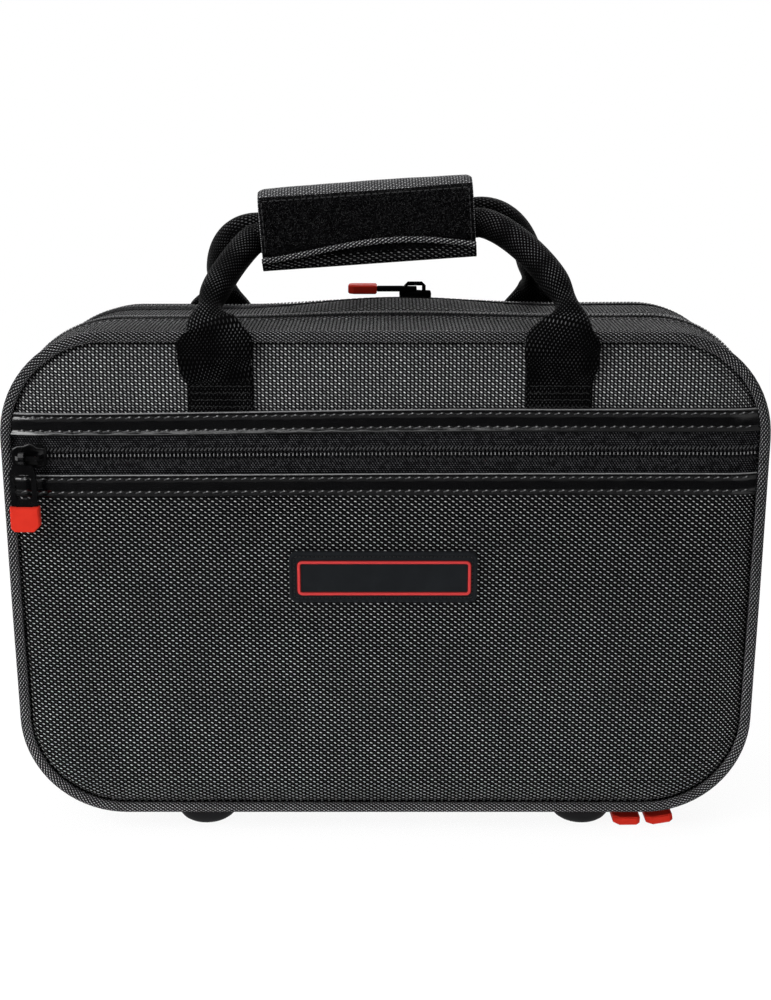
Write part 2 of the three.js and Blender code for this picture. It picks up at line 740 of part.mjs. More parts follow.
// The wrap: a padded sleeve round both grips, its fuzzy panel and the flap that closes on it.
// Its shapes are drawn in depth and height round the wrap's own middle.
function buildWrap() {
  const wrap = new THREE.Group();
  wrap.position.set(wrapX, 0, bottomZ + wrapZ);
  wrap.rotation.y = -wrapTilt;
  base.add(wrap);
  const along = (geometry, length) => {
    geometry.applyMatrix4(
      new THREE.Matrix4().makeBasis(
        new THREE.Vector3(0, 1, 0),
        new THREE.Vector3(0, 0, 1),
        new THREE.Vector3(1, 0, 0),
      ),
    );
    return geometry.translate(-length / 2, 0, 0);
  };
  const halfHeight = wrapHeight / 2;

  const sleeveShape = roundedRectangle(wrapFront + wrapBack, wrapHeight, wrapCorner);
  const sleeve = along(extrude(sleeveShape, wrapLength), wrapLength);
  sleeve.translate(0, (wrapBack - wrapFront) / 2, 0);
  const hollowShape = roundedRectangle(wrapHollowWidth, wrapHollowHeight, wrapHollowCorner);
  const hollow = along(extrude(hollowShape, wrapLength + 2 * overrun), wrapLength + 2 * overrun);
  const slit = block(wrapLength + 2 * overrun, wrapSlit, halfHeight + overrun);
  slit.translate(0, wrapCorner - wrapFront, -(halfHeight + overrun) / 2);
  addPiece(wrap, "wrap_sleeve", cut(sleeve, hollow, slit), "nylon");

  const panelY = -wrapFront - gap - loopPanelThickness / 2;
  const panel = block(wrapLength, loopPanelThickness, loopPanelHeight);
  panel.translate(0, panelY, loopPanelLift);
  addPiece(wrap, "wrap_loop_panel", panel, "fuzzy");

  const hookY = panelY - loopPanelThickness / 2 - gap - hookThickness / 2;
  const panelLow = loopPanelLift - loopPanelHeight / 2;
  const hook = block(wrapLength, hookThickness, hookHeight - hookRelief);
  hook.translate(0, hookY, panelLow + hookHeight / 2);

  const innerY = hookY - hookThickness / 2 - gap;
  const bendCentreY = innerY + flapBend;
  const bendCentreZ = -halfHeight - gap - flapThickness + flapBend + flapThickness;
  const flapTopZ = panelLow + hookHeight;
  const inner = [];
  const outer = [];
  for (let k = 0; k <= curveSteps; k++) {
    const angle = Math.PI + ((k / curveSteps) * Math.PI) / 2;
    const [c, s] = [Math.cos(angle), Math.sin(angle)];
    inner.push([bendCentreY + flapBend * c, bendCentreZ + flapBend * s]);
    const far = flapBend + flapThickness;
    outer.push([bendCentreY + far * c, bendCentreZ + far * s]);
  }
  const profile = [[innerY - flapThickness, flapTopZ], ...outer, ...inner.reverse(), [innerY, flapTopZ]];
  addPiece(wrap, "wrap_flap", sideProfile(profile, 0, wrapLength), "nylon");
  addPiece(wrap, "wrap_hook_strip", hook, "fuzzy");
}

// A slider's body and bridge. Its own x runs along the zip and its own z points away from it.
function sliderGeometry(rise) {
  const body = extrude(roundedRectangle(sliderLength, sliderWidth, sliderCorner), sliderThickness);
  const outerHalf = bridgeInnerHalf + bridgeBar;
  const crown = sliderThickness + rise + bridgeBar / 2;
  const bridge = new THREE.Shape();
  bridge.moveTo(-outerHalf, sliderThickness / 2);
  bridge.lineTo(-outerHalf, crown - bridgeBar);
  bridge.lineTo(bridgeBar - outerHalf, crown);
  bridge.lineTo(outerHalf - bridgeBar, crown);
  bridge.lineTo(outerHalf, crown - bridgeBar);
  bridge.lineTo(outerHalf, sliderThickness / 2);
  const arch = extrude(bridge, bridgeBar);
  arch.translate(0, 0, -bridgeBar / 2);
  arch.rotateX(Math.PI / 2);
  const underside = crown - bridgeBar;
  const opening = block(2 * bridgeInnerHalf, 2 * bridgeBar, underside);
  opening.translate(0, 0, underside / 2);
  return join(cut(arch, opening), body);
}

// A pull's frame, lying along its own y from the pivot at its origin, with z through it.
// The round eye turns on a bar along x, and the slotted end turns inside the bridge.
function pullGeometry({ slotted, reach, cap }) {
  const start = slotted ? -endBarHalf : eyeInner + eyeEdge;
  const [neck, half, tongue] = [eyeNeckWidth / 2, pullWidth / 2, tongueWidth / 2];
  const shoulder = reach - cap - gap;
  const tongueEnd = reach - capWall - gap;
  const shape = new THREE.Shape();
  shape.moveTo(-neck, start);
  shape.lineTo(neck, start);
  shape.lineTo(half, pullWindowStart);
  shape.lineTo(half, shoulder);
  shape.lineTo(tongue, shoulder);
  shape.lineTo(tongue, tongueEnd);
  shape.lineTo(-tongue, tongueEnd);
  shape.lineTo(-tongue, shoulder);
  shape.lineTo(-half, shoulder);
  shape.lineTo(-half, pullWindowStart);
  const plate = extrude(shape, pullThickness);
  plate.translate(0, 0, -pullThickness / 2);
  const windowLength = shoulder - pullWindowMargin - pullWindowStart;
  const opening = extrude(roundedRectangle(pullWindowWidth, windowLength, pullCorner), 2 * pullThickness);
  opening.translate(0, pullWindowStart + windowLength / 2, -pullThickness);
  if (slotted) {
    const slot = block(2 * eyeSlotHalf, eyeSlotEnd - endBarHalf, 2 * pullThickness);
    slot.translate(0, (eyeSlotEnd + endBarHalf) / 2, 0);
    return cut(plate, opening, slot);
  }
  const shoulders = [-1, 1].map((hand) => {
    const beside = block(pullWidth, 2 * eyeOuter, 2 * pullThickness);
    return beside.translate((hand * (pullWidth + eyeLength)) / 2, 0, 0);
  });
  const bore = new THREE.CylinderGeometry(eyeInner, eyeInner, pullWidth, footSteps);
  bore.rotateZ(Math.PI / 2);
  const ring = new THREE.CylinderGeometry(eyeOuter, eyeOuter, eyeLength, footSteps);
  ring.rotateZ(Math.PI / 2);
  return cut(join(cut(plate, opening, ...shoulders), ring), bore);
}

// The moulded cap over a pull's tongue, with chamfered far corners.
function capGeometry({ reach, cap }) {
  const [half, near, far] = [capWidth / 2 - capBevel, reach - cap + capBevel, reach - capBevel];
  const shape = new THREE.Shape();
  shape.moveTo(-half, near);
  shape.lineTo(half, near);
  shape.lineTo(half, far - capChamfer / 2);
  shape.lineTo(half - capChamfer / 2, far);
  shape.lineTo(capChamfer - half, far);
  shape.lineTo(-half, far - capChamfer);
  const core = capThickness - 2 * capBevel;
  const bevel = { depth: core, bevelThickness: capBevel, bevelSize: capBevel, bevelSegments: 1 };
  const body = new THREE.ExtrudeGeometry(shape, bevel);
  body.translate(0, 0, -core / 2);
  const slot = block(tongueWidth + 2 * gap, cap, pullThickness + 2 * gap);
  slot.translate(0, reach - capWall - cap / 2, 0);
  return cut(body, slot);
}

// A slider with its pull and cap. Its frame gives the slider's place and directions.
// The pull lies flat on the slider, turned by an angle in its plane and drooped by another.
function addZipSlider(parent, prefix, slider) {
  const { place, along, outward, slotted = false, turn, droop = 0, shift = 0 } = slider;
  const size = { slotted, reach: slider.reach ?? pullReach, cap: slider.cap ?? capLength };
  const rise = slotted ? topBridgeRise : bridgeRise;
  const seat = new THREE.Group();
  const sideways = new THREE.Vector3().crossVectors(outward, along);
  seat.quaternion.setFromRotationMatrix(new THREE.Matrix4().makeBasis(along, sideways, outward));
  seat.position.copy(place);
  addPiece(seat, `${prefix}_slider`, sliderGeometry(rise), "metal");
  const turned = new THREE.Group();
  turned.position.set(-shift, 0, sliderThickness + (slotted ? endBarRise : rise));
  turned.rotation.z = turn;
  const drooped = new THREE.Group();
  drooped.rotation.x = droop;
  addPiece(drooped, `${prefix}_pull`, pullGeometry(size), "metal");
  addPiece(drooped, `${prefix}_pull_cap`, capGeometry(size), "red");
  turned.add(drooped);
  seat.add(turned);
  parent.add(seat);
}

// The four sliders: the front pocket's, the main zip's two, and the top pocket's.
function buildSliders() {
  const [xAxis, yAxis, zAxis] = [0, 1, 2].map((k) => new THREE.Vector3().setComponent(k, 1));
  const pocketCoilY = frontY + pocketTapeSink - coilProud;
  addZipSlider(lid, "pocket", {
    place: new THREE.Vector3(pocketSliderX, pocketCoilY - gap, bottomZ + pocketZipHeight),
    along: xAxis,
    outward: yAxis.clone().negate(),
    turn: Math.PI,
    shift: pocketPullShift,
  });

  // The main zip's two sliders meet where the bottom turns into the corner.
  const cornerZ = bottomZ + cornerRadius;
  const reach = cornerZ - bottomSkinZ(zipY) - tapeSink + coilProud + gap;
  const mainSlider = (x, angle) => {
    const [nx, nz] = [Math.sin(angle), -Math.cos(angle)];
    return {
      place: new THREE.Vector3(x + reach * nx, zipY, cornerZ + reach * nz),
      along: new THREE.Vector3(-nz, 0, nx),
      outward: new THREE.Vector3(nx, 0, nz),
      turn: -mainPullSplay,
      droop: mainPullDroop,
      reach: mainPullReach,
    };
  };
  addZipSlider(lid, "main_left", mainSlider(mainSliderX, 0));
  addZipSlider(lid, "main_right", mainSlider(cornerX, mainSliderAngle));

  const topSeat = tapeThickness + topCoilProud + topSliderLift;
  addZipSlider(base, "top", {
    place: new THREE.Vector3(topSliderX, topZipY, topSkinZ(topSliderX, topZipY) + topSeat),
    along: xAxis,
    outward: zAxis,
    slotted: true,
    turn: Math.PI / 2,
    cap: topCapLength,
  });
}

buildFront();
buildShells();
buildTray();
buildZips();
buildFeet();
buildBadge();
buildHandle("front_handle", lid, {
  side: -1,
  panelY: frontY,
  tabInset: frontTabInset,
  foldZ: topZ,
  gripZ: bottomZ + wrapZ - frontGripDrop,
  legShares: frontLegShares,
});
buildHandle("rear_handle", base, {
  side: 1,
  panelY: rearY,
  tabInset: rearTabInset,
  foldZ: topZ + rearFoldRise,
  gripZ: bottomZ + wrapZ,
  legShares: rearLegShares,
});
buildWrap();
buildSliders();

export default group;
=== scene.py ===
"""Looks of the clarinet case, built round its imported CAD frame.

Sizes and places are in millimetres, except for the floor, the lights and the camera, in metres.
"""

import math

import bmesh
import bpy
import numpy as np
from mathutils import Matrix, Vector
from mathutils.geometry import delaunay_2d_cdt


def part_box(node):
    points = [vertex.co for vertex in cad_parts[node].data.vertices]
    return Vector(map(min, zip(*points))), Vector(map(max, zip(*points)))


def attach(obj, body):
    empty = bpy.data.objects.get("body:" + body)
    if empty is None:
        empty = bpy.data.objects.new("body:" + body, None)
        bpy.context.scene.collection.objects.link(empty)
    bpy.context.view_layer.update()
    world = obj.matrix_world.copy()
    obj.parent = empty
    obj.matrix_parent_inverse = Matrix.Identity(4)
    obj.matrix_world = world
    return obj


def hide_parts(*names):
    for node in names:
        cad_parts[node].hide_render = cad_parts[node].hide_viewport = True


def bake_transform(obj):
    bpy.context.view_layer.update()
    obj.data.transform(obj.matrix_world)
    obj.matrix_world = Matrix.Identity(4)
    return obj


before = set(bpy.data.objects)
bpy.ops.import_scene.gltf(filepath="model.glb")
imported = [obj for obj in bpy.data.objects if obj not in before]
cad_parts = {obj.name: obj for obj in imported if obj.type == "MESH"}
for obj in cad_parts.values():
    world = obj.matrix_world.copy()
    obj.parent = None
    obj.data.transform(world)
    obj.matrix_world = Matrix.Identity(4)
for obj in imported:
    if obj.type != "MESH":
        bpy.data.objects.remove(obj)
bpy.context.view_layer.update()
scene = bpy.context.scene

MM = 0.001
PI = math.pi

# The case round its piping
HALF_WIDTH = 175.0
BOTTOM_Z = 12.0
TOP_Z = 247.0
FRONT_Y = -54.0
REAR_Y = 58.0
CORNER_RADIUS = 49.0
CORNER_X = HALF_WIDTH - CORNER_RADIUS

# The skin between the pipings, which stand proud of it
PIPING_PROUD = 1.6
PIPING_RADIUS = 2.5
LOW = BOTTOM_Z + PIPING_PROUD
HIGH = TOP_Z - PIPING_PROUD
HALF = HALF_WIDTH - PIPING_PROUD
RADIUS = CORNER_RADIUS - PIPING_PROUD
BELLY = 5.4
TOP_BELLY = 0.2
CREST_X = 5.0
CREST_REACH = 85.0
CREST_START = 0.28
CREST_PEAK = 0.76

# The front and rear panels
FRONT_PANEL_Y = FRONT_Y + 3.0
REAR_PANEL_Y = REAR_Y - 3.0
SEAM_INSET = 3.3
PANEL_RUN = 24.0
CROWN = 3.0

# The gussets, from the piping's seam to the hem beside the main zip
GUSSET_EDGE = 4.7
HEM_AWAY = 4.4
SEAM_STITCHES = 6.2
HEM_STITCHES = 3.6

# The zips, and the trims beside the pocket's zip
ZIP_Y = -1.0
TOP_ZIP_Y = 43.0
POCKET_ZIP_Z = 190.8
COIL_PITCH = 1.8
TRIM_AWAY = 14.25
TRIM_STITCHES = 3.1
POCKET_BOW = 1.0
UPPER_TRIM_BOW = 2.1
LOWER_TRIM_BOW = 0.9

# The depth of the badge's raised line at its flanks and at its top; its colour goes from painted shade on
# the flanks to full red on the top
RED_LINE_FLANK = -55.9
RED_LINE_TOP = -56.2

# The feet, a little to the right of the middle
LEFT_FEET_X = -89.0
RIGHT_FEET_X = 97.5
FRONT_FEET_Y = -31.0
REAR_FEET_Y = 35.0

# The handles and their wrap
WRAP_X = -8.6
WRAP_Z = 292.9
WRAP_TILT = math.radians(4)
WRAP_LENGTH = 100.0
FLAP_THICKNESS = 1.15
GRIP_RADIUS = 6.9
WEBBING_WIDTH = 30.0
TAB_LOW = 210.7
STRAP_SIDES = 36

# Stations along each stretch of the outline
BOTTOM_STEPS = 28
CORNER_STEPS = 18
SIDE_STEPS = 24
TOP_STEPS = 36
TOP_CORNER = BOTTOM_STEPS + CORNER_STEPS + SIDE_STEPS


# The case's skin, as the frame has it, with finer steps


def smooth(x, low, high):
    t = np.clip((np.asarray(x, float) - low) / (high - low), 0, 1)
    return t * t * (3 - 2 * t)


def belly_at(y):
    """How much of the sides' belly is there at a depth: none at the pipings, all at the zip."""
    reach = np.where(y < ZIP_Y, ZIP_Y - FRONT_Y, REAR_Y - ZIP_Y)
    return 1 - ((y - ZIP_Y) / reach) ** 2


def crest_at(y):
    """How much of the top's rise is there at a depth."""
    share = (y - FRONT_Y) / (REAR_Y - FRONT_Y)
    falling = smooth(1 - share, 0, 1 - CREST_PEAK)
    return np.where(share < CREST_PEAK, smooth(share, CREST_START, CREST_PEAK), falling)


def crest_rise(x):
    """How far the top rises: a little more on the right, and most in the middle."""
    aside = np.minimum(np.abs(x - CREST_X) / CREST_REACH, 1)
    return 1.3 * (1 + 1.1 * x / CORNER_X) + 5 * np.cos(aside * PI / 2) ** 2


def outline():
    """Stations from the middle of the bottom, to the right, over the top and back.

    A row holds x, z, the outward direction's x and z, the belly's share and the crest's share.
    """
    flat = 1 / BELLY

    def turn(angle, centre_z):
        c, s = math.cos(angle), math.sin(angle)
        return CORNER_X + RADIUS * c, centre_z + RADIUS * s, c, s

    rows = [(CORNER_X * k / BOTTOM_STEPS, LOW, 0, -1, flat, 0) for k in range(BOTTOM_STEPS)]
    for k in range(CORNER_STEPS + 1):
        rows.append((*turn((k / CORNER_STEPS - 1) * PI / 2, LOW + RADIUS), flat, 0))
    for k in range(1, SIDE_STEPS):
        share = k / SIDE_STEPS
        belly = flat + (1 - flat) * float(smooth(share, 0, 0.5))
        rows.append((HALF, LOW + RADIUS + (HIGH - LOW - 2 * RADIUS) * share, 1, 0, belly, 0))
    for k in range(CORNER_STEPS + 1):
        angle = k / CORNER_STEPS * PI / 2
        up = math.sin(angle) ** 2
        rows.append((*turn(angle, HIGH - RADIUS), 1 - (1 - TOP_BELLY) * up, up))
    for k in range(1, TOP_STEPS + 1):
        rows.append((CORNER_X * (1 - k / TOP_STEPS), HIGH, 0, 1, TOP_BELLY, 1))
    right = np.array(rows)
    left = right[1:][::-1].copy()[1:]
    left[:, [0, 2]] *= -1
    return np.vstack([right, left, right[:1]])


STATIONS = outline()


def skin(y, out, at=STATIONS):
    """Points of the skin at these stations, at depth y and this far out."""
    y, out = np.broadcast_to(y, len(at)), np.broadcast_to(out, len(at))
    off = out + BELLY * at[:, 4] * belly_at(y)
    lift = at[:, 5] * crest_rise(at[:, 0]) * crest_at(y)
    return np.stack([at[:, 0] + at[:, 2] * off, y, at[:, 1] + at[:, 3] * off + lift], 1)


def lengths(points):
    """Arc length at each point of a line."""
    steps = np.linalg.norm(np.diff(points, axis=0), axis=1)
    return np.concatenate([[0], np.cumsum(steps)])


def unit(vectors):
    return vectors / np.linalg.norm(vectors, axis=-1, keepdims=True)


def row_at(x, y, z):
    """A row of points at one x."""
    return np.stack([np.full(len(y), x), y, z], 1)


ROUND = lengths(skin(ZIP_Y, 0))
SEAM_LINE = skin(FRONT_PANEL_Y, -SEAM_INSET)[:, [0, 2]]
SEAM_SIDE = SEAM_LINE[BOTTOM_STEPS : TOP_CORNER + CORNER_STEPS + 2]


def waviness(x, z):
    broad = 0.2 * np.sin(x / 31 + 1.3) * np.sin(z / 23 + 0.4)
    return broad + 0.12 * np.sin(x / 13 + 2) * np.sin(z / 17 + x / 40)


def crown_run(x, z):
    """How far in from the seam the crown is reached: sooner on the right and along the bottom."""
    return PANEL_RUN - 9 * np.maximum(smooth(x, 70, 150), smooth(-z, -90, -30))


def bow(x, amount):
    """How far the pocket's zip and trims rise on their way to the right."""
    return amount * smooth(x, -150, 40)


def front_face(x, z):
    """Depth of the front panel's face: crowned from its seam, and a little uneven."""
    points = np.stack(np.broadcast_arrays(x, z), -1).reshape(-1, 2).astype(float)
    near = np.full(len(points), 1e9)
    for start, span in zip(SEAM_LINE[:-1], np.diff(SEAM_LINE, axis=0)):
        size = span @ span
        if size < 1e-12:
            continue
        t = np.clip((points - start) @ span / size, 0, 1)
        near = np.minimum(near, np.linalg.norm(points - start - t[:, None] * span, axis=1))
    run = crown_run(points[:, 0], points[:, 1])
    crown = CROWN * (1 - (1 - np.clip(near / run, 0, 1)) ** 2)
    wave = waviness(points[:, 0], points[:, 1]) * smooth(near, 2, 20)
    return (FRONT_PANEL_Y - crown - wave).reshape(np.broadcast(x, z).shape)


def on_front(x, z, out, lift=0):
    """Points this far out from the front panel's face, lifted from where its depth is taken."""
    z = np.broadcast_to(z, len(x))
    return np.stack([x, front_face(x, z) - out, z + lift], 1)


def panel_face(x, z, side):
    """Depth of the panel at a point, on the front for side -1 and on the rear for side 1."""
    depth = float(front_face(x, z))
    return depth if side < 0 else FRONT_Y + REAR_Y - depth


def seam_x(z):
    """Half the width of the front panel at a height."""
    heights, order = np.unique(SEAM_SIDE[:, 1], return_index=True)
    return np.interp(z, heights, SEAM_SIDE[:, 0][order])


def box_mm(node):
    """The lowest and highest corner of a node."""
    return [np.array(corner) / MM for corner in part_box(node)]


# Meshes


def make(name, verts, faces, cloth=None, angle=40):
    """A smooth-shaded object, with the place of each point on its cloth, sharp above an angle."""
    mesh = bpy.data.meshes.new(name)
    mesh.from_pydata((np.asarray(verts, float) * MM).tolist(), [], [list(map(int, f)) for f in faces])
    if cloth is not None:
        layer = mesh.attributes.new("cloth", "FLOAT_VECTOR", "POINT")
        data = np.zeros((len(verts), 3), np.float32)
        data[:, :2] = cloth
        layer.data.foreach_set("vector", data.ravel())
    bm = bmesh.new()
    bm.from_mesh(mesh)
    bmesh.ops.recalc_face_normals(bm, faces=bm.faces)
    bm.to_mesh(mesh)
    bm.free()
    mesh.polygons.foreach_set("use_smooth", [True] * len(mesh.polygons))
    mesh.set_sharp_from_angle(angle=math.radians(angle))
    obj = bpy.data.objects.new(name, mesh)
    scene.collection.objects.link(obj)
    return obj


def put(obj, body, material, slot, *replaced):
    """Gives a piece its material and body, and hides the nodes that it replaces. The slot is not used."""
    obj.data.materials.append(material)
    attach(obj, body)
    if replaced:
        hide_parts(*replaced)
    return obj


def between(a, b, size):
    """Faces between two loops of points, which start at a and at b."""
    return [(a + i, a + (i + 1) % size, b + (i + 1) % size, b + i) for i in range(size)]


def loop_ends(count, size, used=None):
    """The faces that close the first and the last of some loops."""
    used = used or size
    last = (count - 1) * size
    return [list(range(used)), list(range(last, last + used))]


def joined(count, size, looped=False):
    """Faces of loops joined one after the other, closed by faces or by the first loop."""
    faces = []
    for k in range(count - (not looped)):
        faces += between(k * size, (k + 1) % count * size, size)
    return faces if looped else faces + loop_ends(count, size)


def grid(rows, cols, start=0):
    """Faces of a grid of points, row by row."""
    faces = []
    for r in range(rows - 1):
        for c in range(cols - 1):
            a = start + r * cols + c
            faces.append((a, a + 1, a + 1 + cols, a + cols))
    return faces


def grid_ends(rows, cols):
    """The faces that close the two ends of a tube, where each row is a line along it."""
    return [[r * cols + c for r in range(rows)] for c in (0, cols - 1)]


def slab(rows, cols):
    """Faces of two alike grids of points and of the rim between them."""
    n = rows * cols
    rim = [r * cols for r in range(rows)]
    rim += [(rows - 1) * cols + c for c in range(1, cols)]
    rim += [r * cols + cols - 1 for r in range(rows - 2, -1, -1)]
    rim += list(range(cols - 2, 0, -1))
    sides = [(a, b, n + b, n + a) for a, b in zip(rim, rim[1:] + rim[:1])]
    return grid(rows, cols) + grid(rows, cols, n) + sides


def band(name, profile, first=0, last=None, capped=False):
    """A band along the skin, whose section is a closed line of (depth, out) points."""
    at = STATIONS[first:last]
    around = ROUND[first:last]
    line = np.array(profile + profile[:1], float)
    verts = np.concatenate([skin(y, out, at) for y, out in line])
    cloth = np.concatenate([np.stack([around, np.full(len(at), v)], 1) for v in lengths(line)])
    faces = grid(len(line), len(at))
    if capped:
        faces += grid_ends(len(profile), len(at))
    return make(name, verts, faces, cloth, angle=50)


def stack(name, layers, looped=False):
    """A piece made of alike loops of points, one after the other."""
    verts = np.concatenate(layers)
    faces = joined(len(layers), len(layers[0]), looped)
    return make(name, verts, faces, verts[:, [0, 2]], angle=35)


def rounded_loop(width, height, radius, steps=6):
    """A rectangle with round corners."""
    points = []
    for cx, cz, start in ((1, -1, -0.5), (1, 1, 0), (-1, 1, 0.5), (-1, -1, 1)):
        for k in range(steps + 1):
            a = (start + 0.5 * k / steps) * PI
            x = cx * (width / 2 - radius) + radius * math.cos(a)
            points.append((x, cz * (height / 2 - radius) + radius * math.sin(a)))
    return np.array(points)


def capsules(name, starts, stops, radius, sides=6):
    """Many small round-ended rods in one mesh."""
    p, q = np.array(starts)[:, None], np.array(stops)[:, None]
    t = unit(q - p)
    u = unit(np.cross(t, np.where(np.abs(t[:, :, 2:]) < 0.9, [0, 0, 1.0], [1.0, 0, 0])))
    angles = np.arange(sides)[:, None] / sides * 2 * PI
    spokes = radius * (np.cos(angles) * u + np.sin(angles) * np.cross(t, u))
    verts = [p - t * radius]
    for end, past, wide in ((p, -0.7, 0.7), (p, 0, 1), (q, 0, 1), (q, 0.7, 0.7)):
        verts.append(end + t * past * radius + wide * spokes)
    verts.append(q + t * radius)
    block = np.concatenate(verts, 1)
    count = block.shape[1]
    faces = []
    for s in range(sides):
        n = (s + 1) % sides
        faces.append((0, 1 + n, 1 + s))
        for a in (1, 1 + sides, 1 + 2 * sides):
            faces.append((a + s, a + n, a + sides + n, a + sides + s))
        faces.append((count - 1 - sides + s, count - 1 - sides + n, count - 1))
    every = [[i + k * count for i in f] for k in range(len(p)) for f in faces]
    return make(name, block.reshape(-1, 3), every, angle=180)


def along(line, pitch, start):
    """Points and directions at a pitch along a line."""
    run = lengths(line)
    spots = np.arange(start, run[-1] - 1e-6, pitch)

    def at(s):
        return np.stack([np.interp(s, run, line[:, k]) for k in range(3)], 1)

    return at(spots), unit(at(spots + 0.3) - at(spots - 0.3))


def stitches(name, line, pitch, length, radius):
    """A row of stitches along a line."""
    place, t = along(line, pitch, pitch / 2)
    half = t * (length / 2 - radius)
    return capsules(name, place - half, place + half, radius, sides=5)


# Materials


class Nodes:
    """Short ways to add shader nodes to a tree."""

    def __init__(self, tree):
        self.tree = tree

    def feed(self, socket, value):
        if isinstance(value, bpy.types.NodeSocket):
            self.tree.links.new(value, socket)
        else:
            socket.default_value = value

    def node(self, kind, **inputs):
        node = self.tree.nodes.new("ShaderNode" + kind)
        for key, value in inputs.items():
            self.feed(node.inputs[key.replace("_", " ")], value)
        return node

    def math(self, kind, *values):
        node = self.node("Math")
        node.operation = kind
        for socket, value in zip(node.inputs, values):
            self.feed(socket, value)
        return node.outputs[0]

    def plus(self, a, b):
        return self.math("ADD", a, b)

    def minus(self, a, b):
        return self.math("SUBTRACT", a, b)

    def times(self, a, b):
        return self.math("MULTIPLY", a, b)

    def larger(self, a, b):
        return self.math("MAXIMUM", a, b)

    def ramp(self, value, low, high, to_low=0.0, to_high=1.0, kind="SMOOTHSTEP"):
        limits = {"From_Min": low, "From_Max": high, "To_Min": to_low, "To_Max": to_high}
        node = self.node("MapRange", Value=value, **limits)
        node.interpolation_type = kind
        return node.outputs["Result"]

    def part(self, vector, axis):
        return self.node("SeparateXYZ", Vector=vector).outputs[axis]


class Finish(Nodes):
    """A material that starts from a Principled shader."""

    def __init__(self, name, color, roughness, specular, **sockets):
        self.material = bpy.data.materials.new(name)
        self.material.use_nodes = True
        super().__init__(self.material.node_tree)
        self.shader = self.tree.nodes["Principled BSDF"]
        sockets.update(Base_Color=(*color, 1), Roughness=roughness, Specular_IOR_Level=specular)
        for key, value in sockets.items():
            self.feed(self.shader.inputs[key.replace("_", " ")], value)

    def color(self, share, a, b):
        """Colours the surface between two colours, by a share."""
        node = self.node("Mix")
        node.data_type = "RGBA"
        self.feed(node.inputs["Factor"], share)
        for key, value in (("A", a), ("B", b)):
            socket = next(s for s in node.inputs if s.name == key and s.type == "RGBA")
            self.feed(socket, (*value, 1))
        mixed = next(s for s in node.outputs if s.type == "RGBA")
        self.feed(self.shader.inputs["Base Color"], mixed)

    def roughness(self, *ramp):
        self.feed(self.shader.inputs["Roughness"], self.ramp(*ramp))

    def place(self):
        return self.node("TexCoord").outputs["Object"]

    def cloth(self):
        """The point's place on its cloth, in millimetres."""
        node = self.node("Attribute")
        node.attribute_name = "cloth"
        split = self.node("SeparateXYZ", Vector=node.outputs["Vector"])
        return split.outputs[0], split.outputs[1]

    def noise(self, scale, detail=2.0):
        return self.node("TexNoise", Vector=self.place(), Scale=scale, Detail=detail).outputs["Fac"]

    def cells(self, scale):
        return self.node("TexVoronoi", Vector=self.place(), Scale=scale)

    def off_middle(self, value, pitch, shift):
        """How far a value is from the middle of its step, from -0.5 to 0.5."""
        return self.minus(self.math("FRACT", self.plus(self.math("DIVIDE", value, pitch), shift)), 0.5)

    def lattice(self, u, v, pitch, spot, slant):
        """Two half-shifted rows of soft spots: 1 in a spot's middle and 0 between them."""
        rows = []
        for shift in (0.0, 0.5):
            aside = self.off_middle(u, pitch[0], shift)
            above = self.off_middle(v, pitch[1], shift)
            aside = self.times(aside, pitch[0] / spot[0])
            above = self.times(above, pitch[1] / spot[1])
            leaning = self.plus(aside, self.times(above, slant))
            far = self.plus(self.times(leaning, leaning), self.times(above, above))
            rows.append(self.ramp(far, 1.2, 0.25))
        return self.larger(*rows)

    def bump(self, height, depth_mm, strength=1.0):
        """Adds relief over any relief given before."""
        node = self.node("Bump", Height=height, Distance=depth_mm * MM, Strength=strength)
        earlier = self.shader.inputs["Normal"]
        if earlier.is_linked:
            self.feed(node.inputs["Normal"], earlier.links[0].from_socket)
        self.feed(self.shader.inputs["Normal"], node.outputs["Normal"])


def nylon_finish(name, dark, light, pitch=(3.45, 2.6), spot=(0.54, 0.35), ground=0.022):
    """Coarse ballistic weave: yarn crossings in half-shifted rows on a charcoal ground; the crossings'
    light grey is a painted glint on the real pattern of the weave.
    """
    f = Finish(name, dark, 0.7, 0.03)
    u, v = f.cloth()
    wobble = f.times(f.minus(f.noise(420), 0.5), 0.5)
    u, v = f.plus(u, wobble), f.plus(v, wobble)
    spots = f.lattice(u, v, pitch, spot, slant=0.8)
    gaps = f.lattice(f.plus(u, pitch[0] / 2), v, pitch, spot, slant=0.8)
    yarn = f.math("ABSOLUTE", f.math("SINE", f.times(f.plus(u, v), 2 * PI / 1.15)))
    fibre = f.noise(2600, 1.0)
    patch = f.ramp(f.noise(38, 3.0), 0.3, 0.7, 0.84, 1.08)
    # The crossings' colour: a painted glint where they catch the light, on the weave's real pattern.
    lit = f.times(f.times(spots, f.ramp(fibre, 0.25, 0.75, 0.55, 1.1)), patch)
    dim = f.times(f.plus(gaps, f.times(yarn, 0.05)), ground)
    f.color(f.larger(lit, dim), dark, light)
    f.roughness(spots, 0, 1, 0.8, 0.5)
    f.bump(f.plus(spots, f.times(yarn, 0.25)), 0.28)
    return f.material


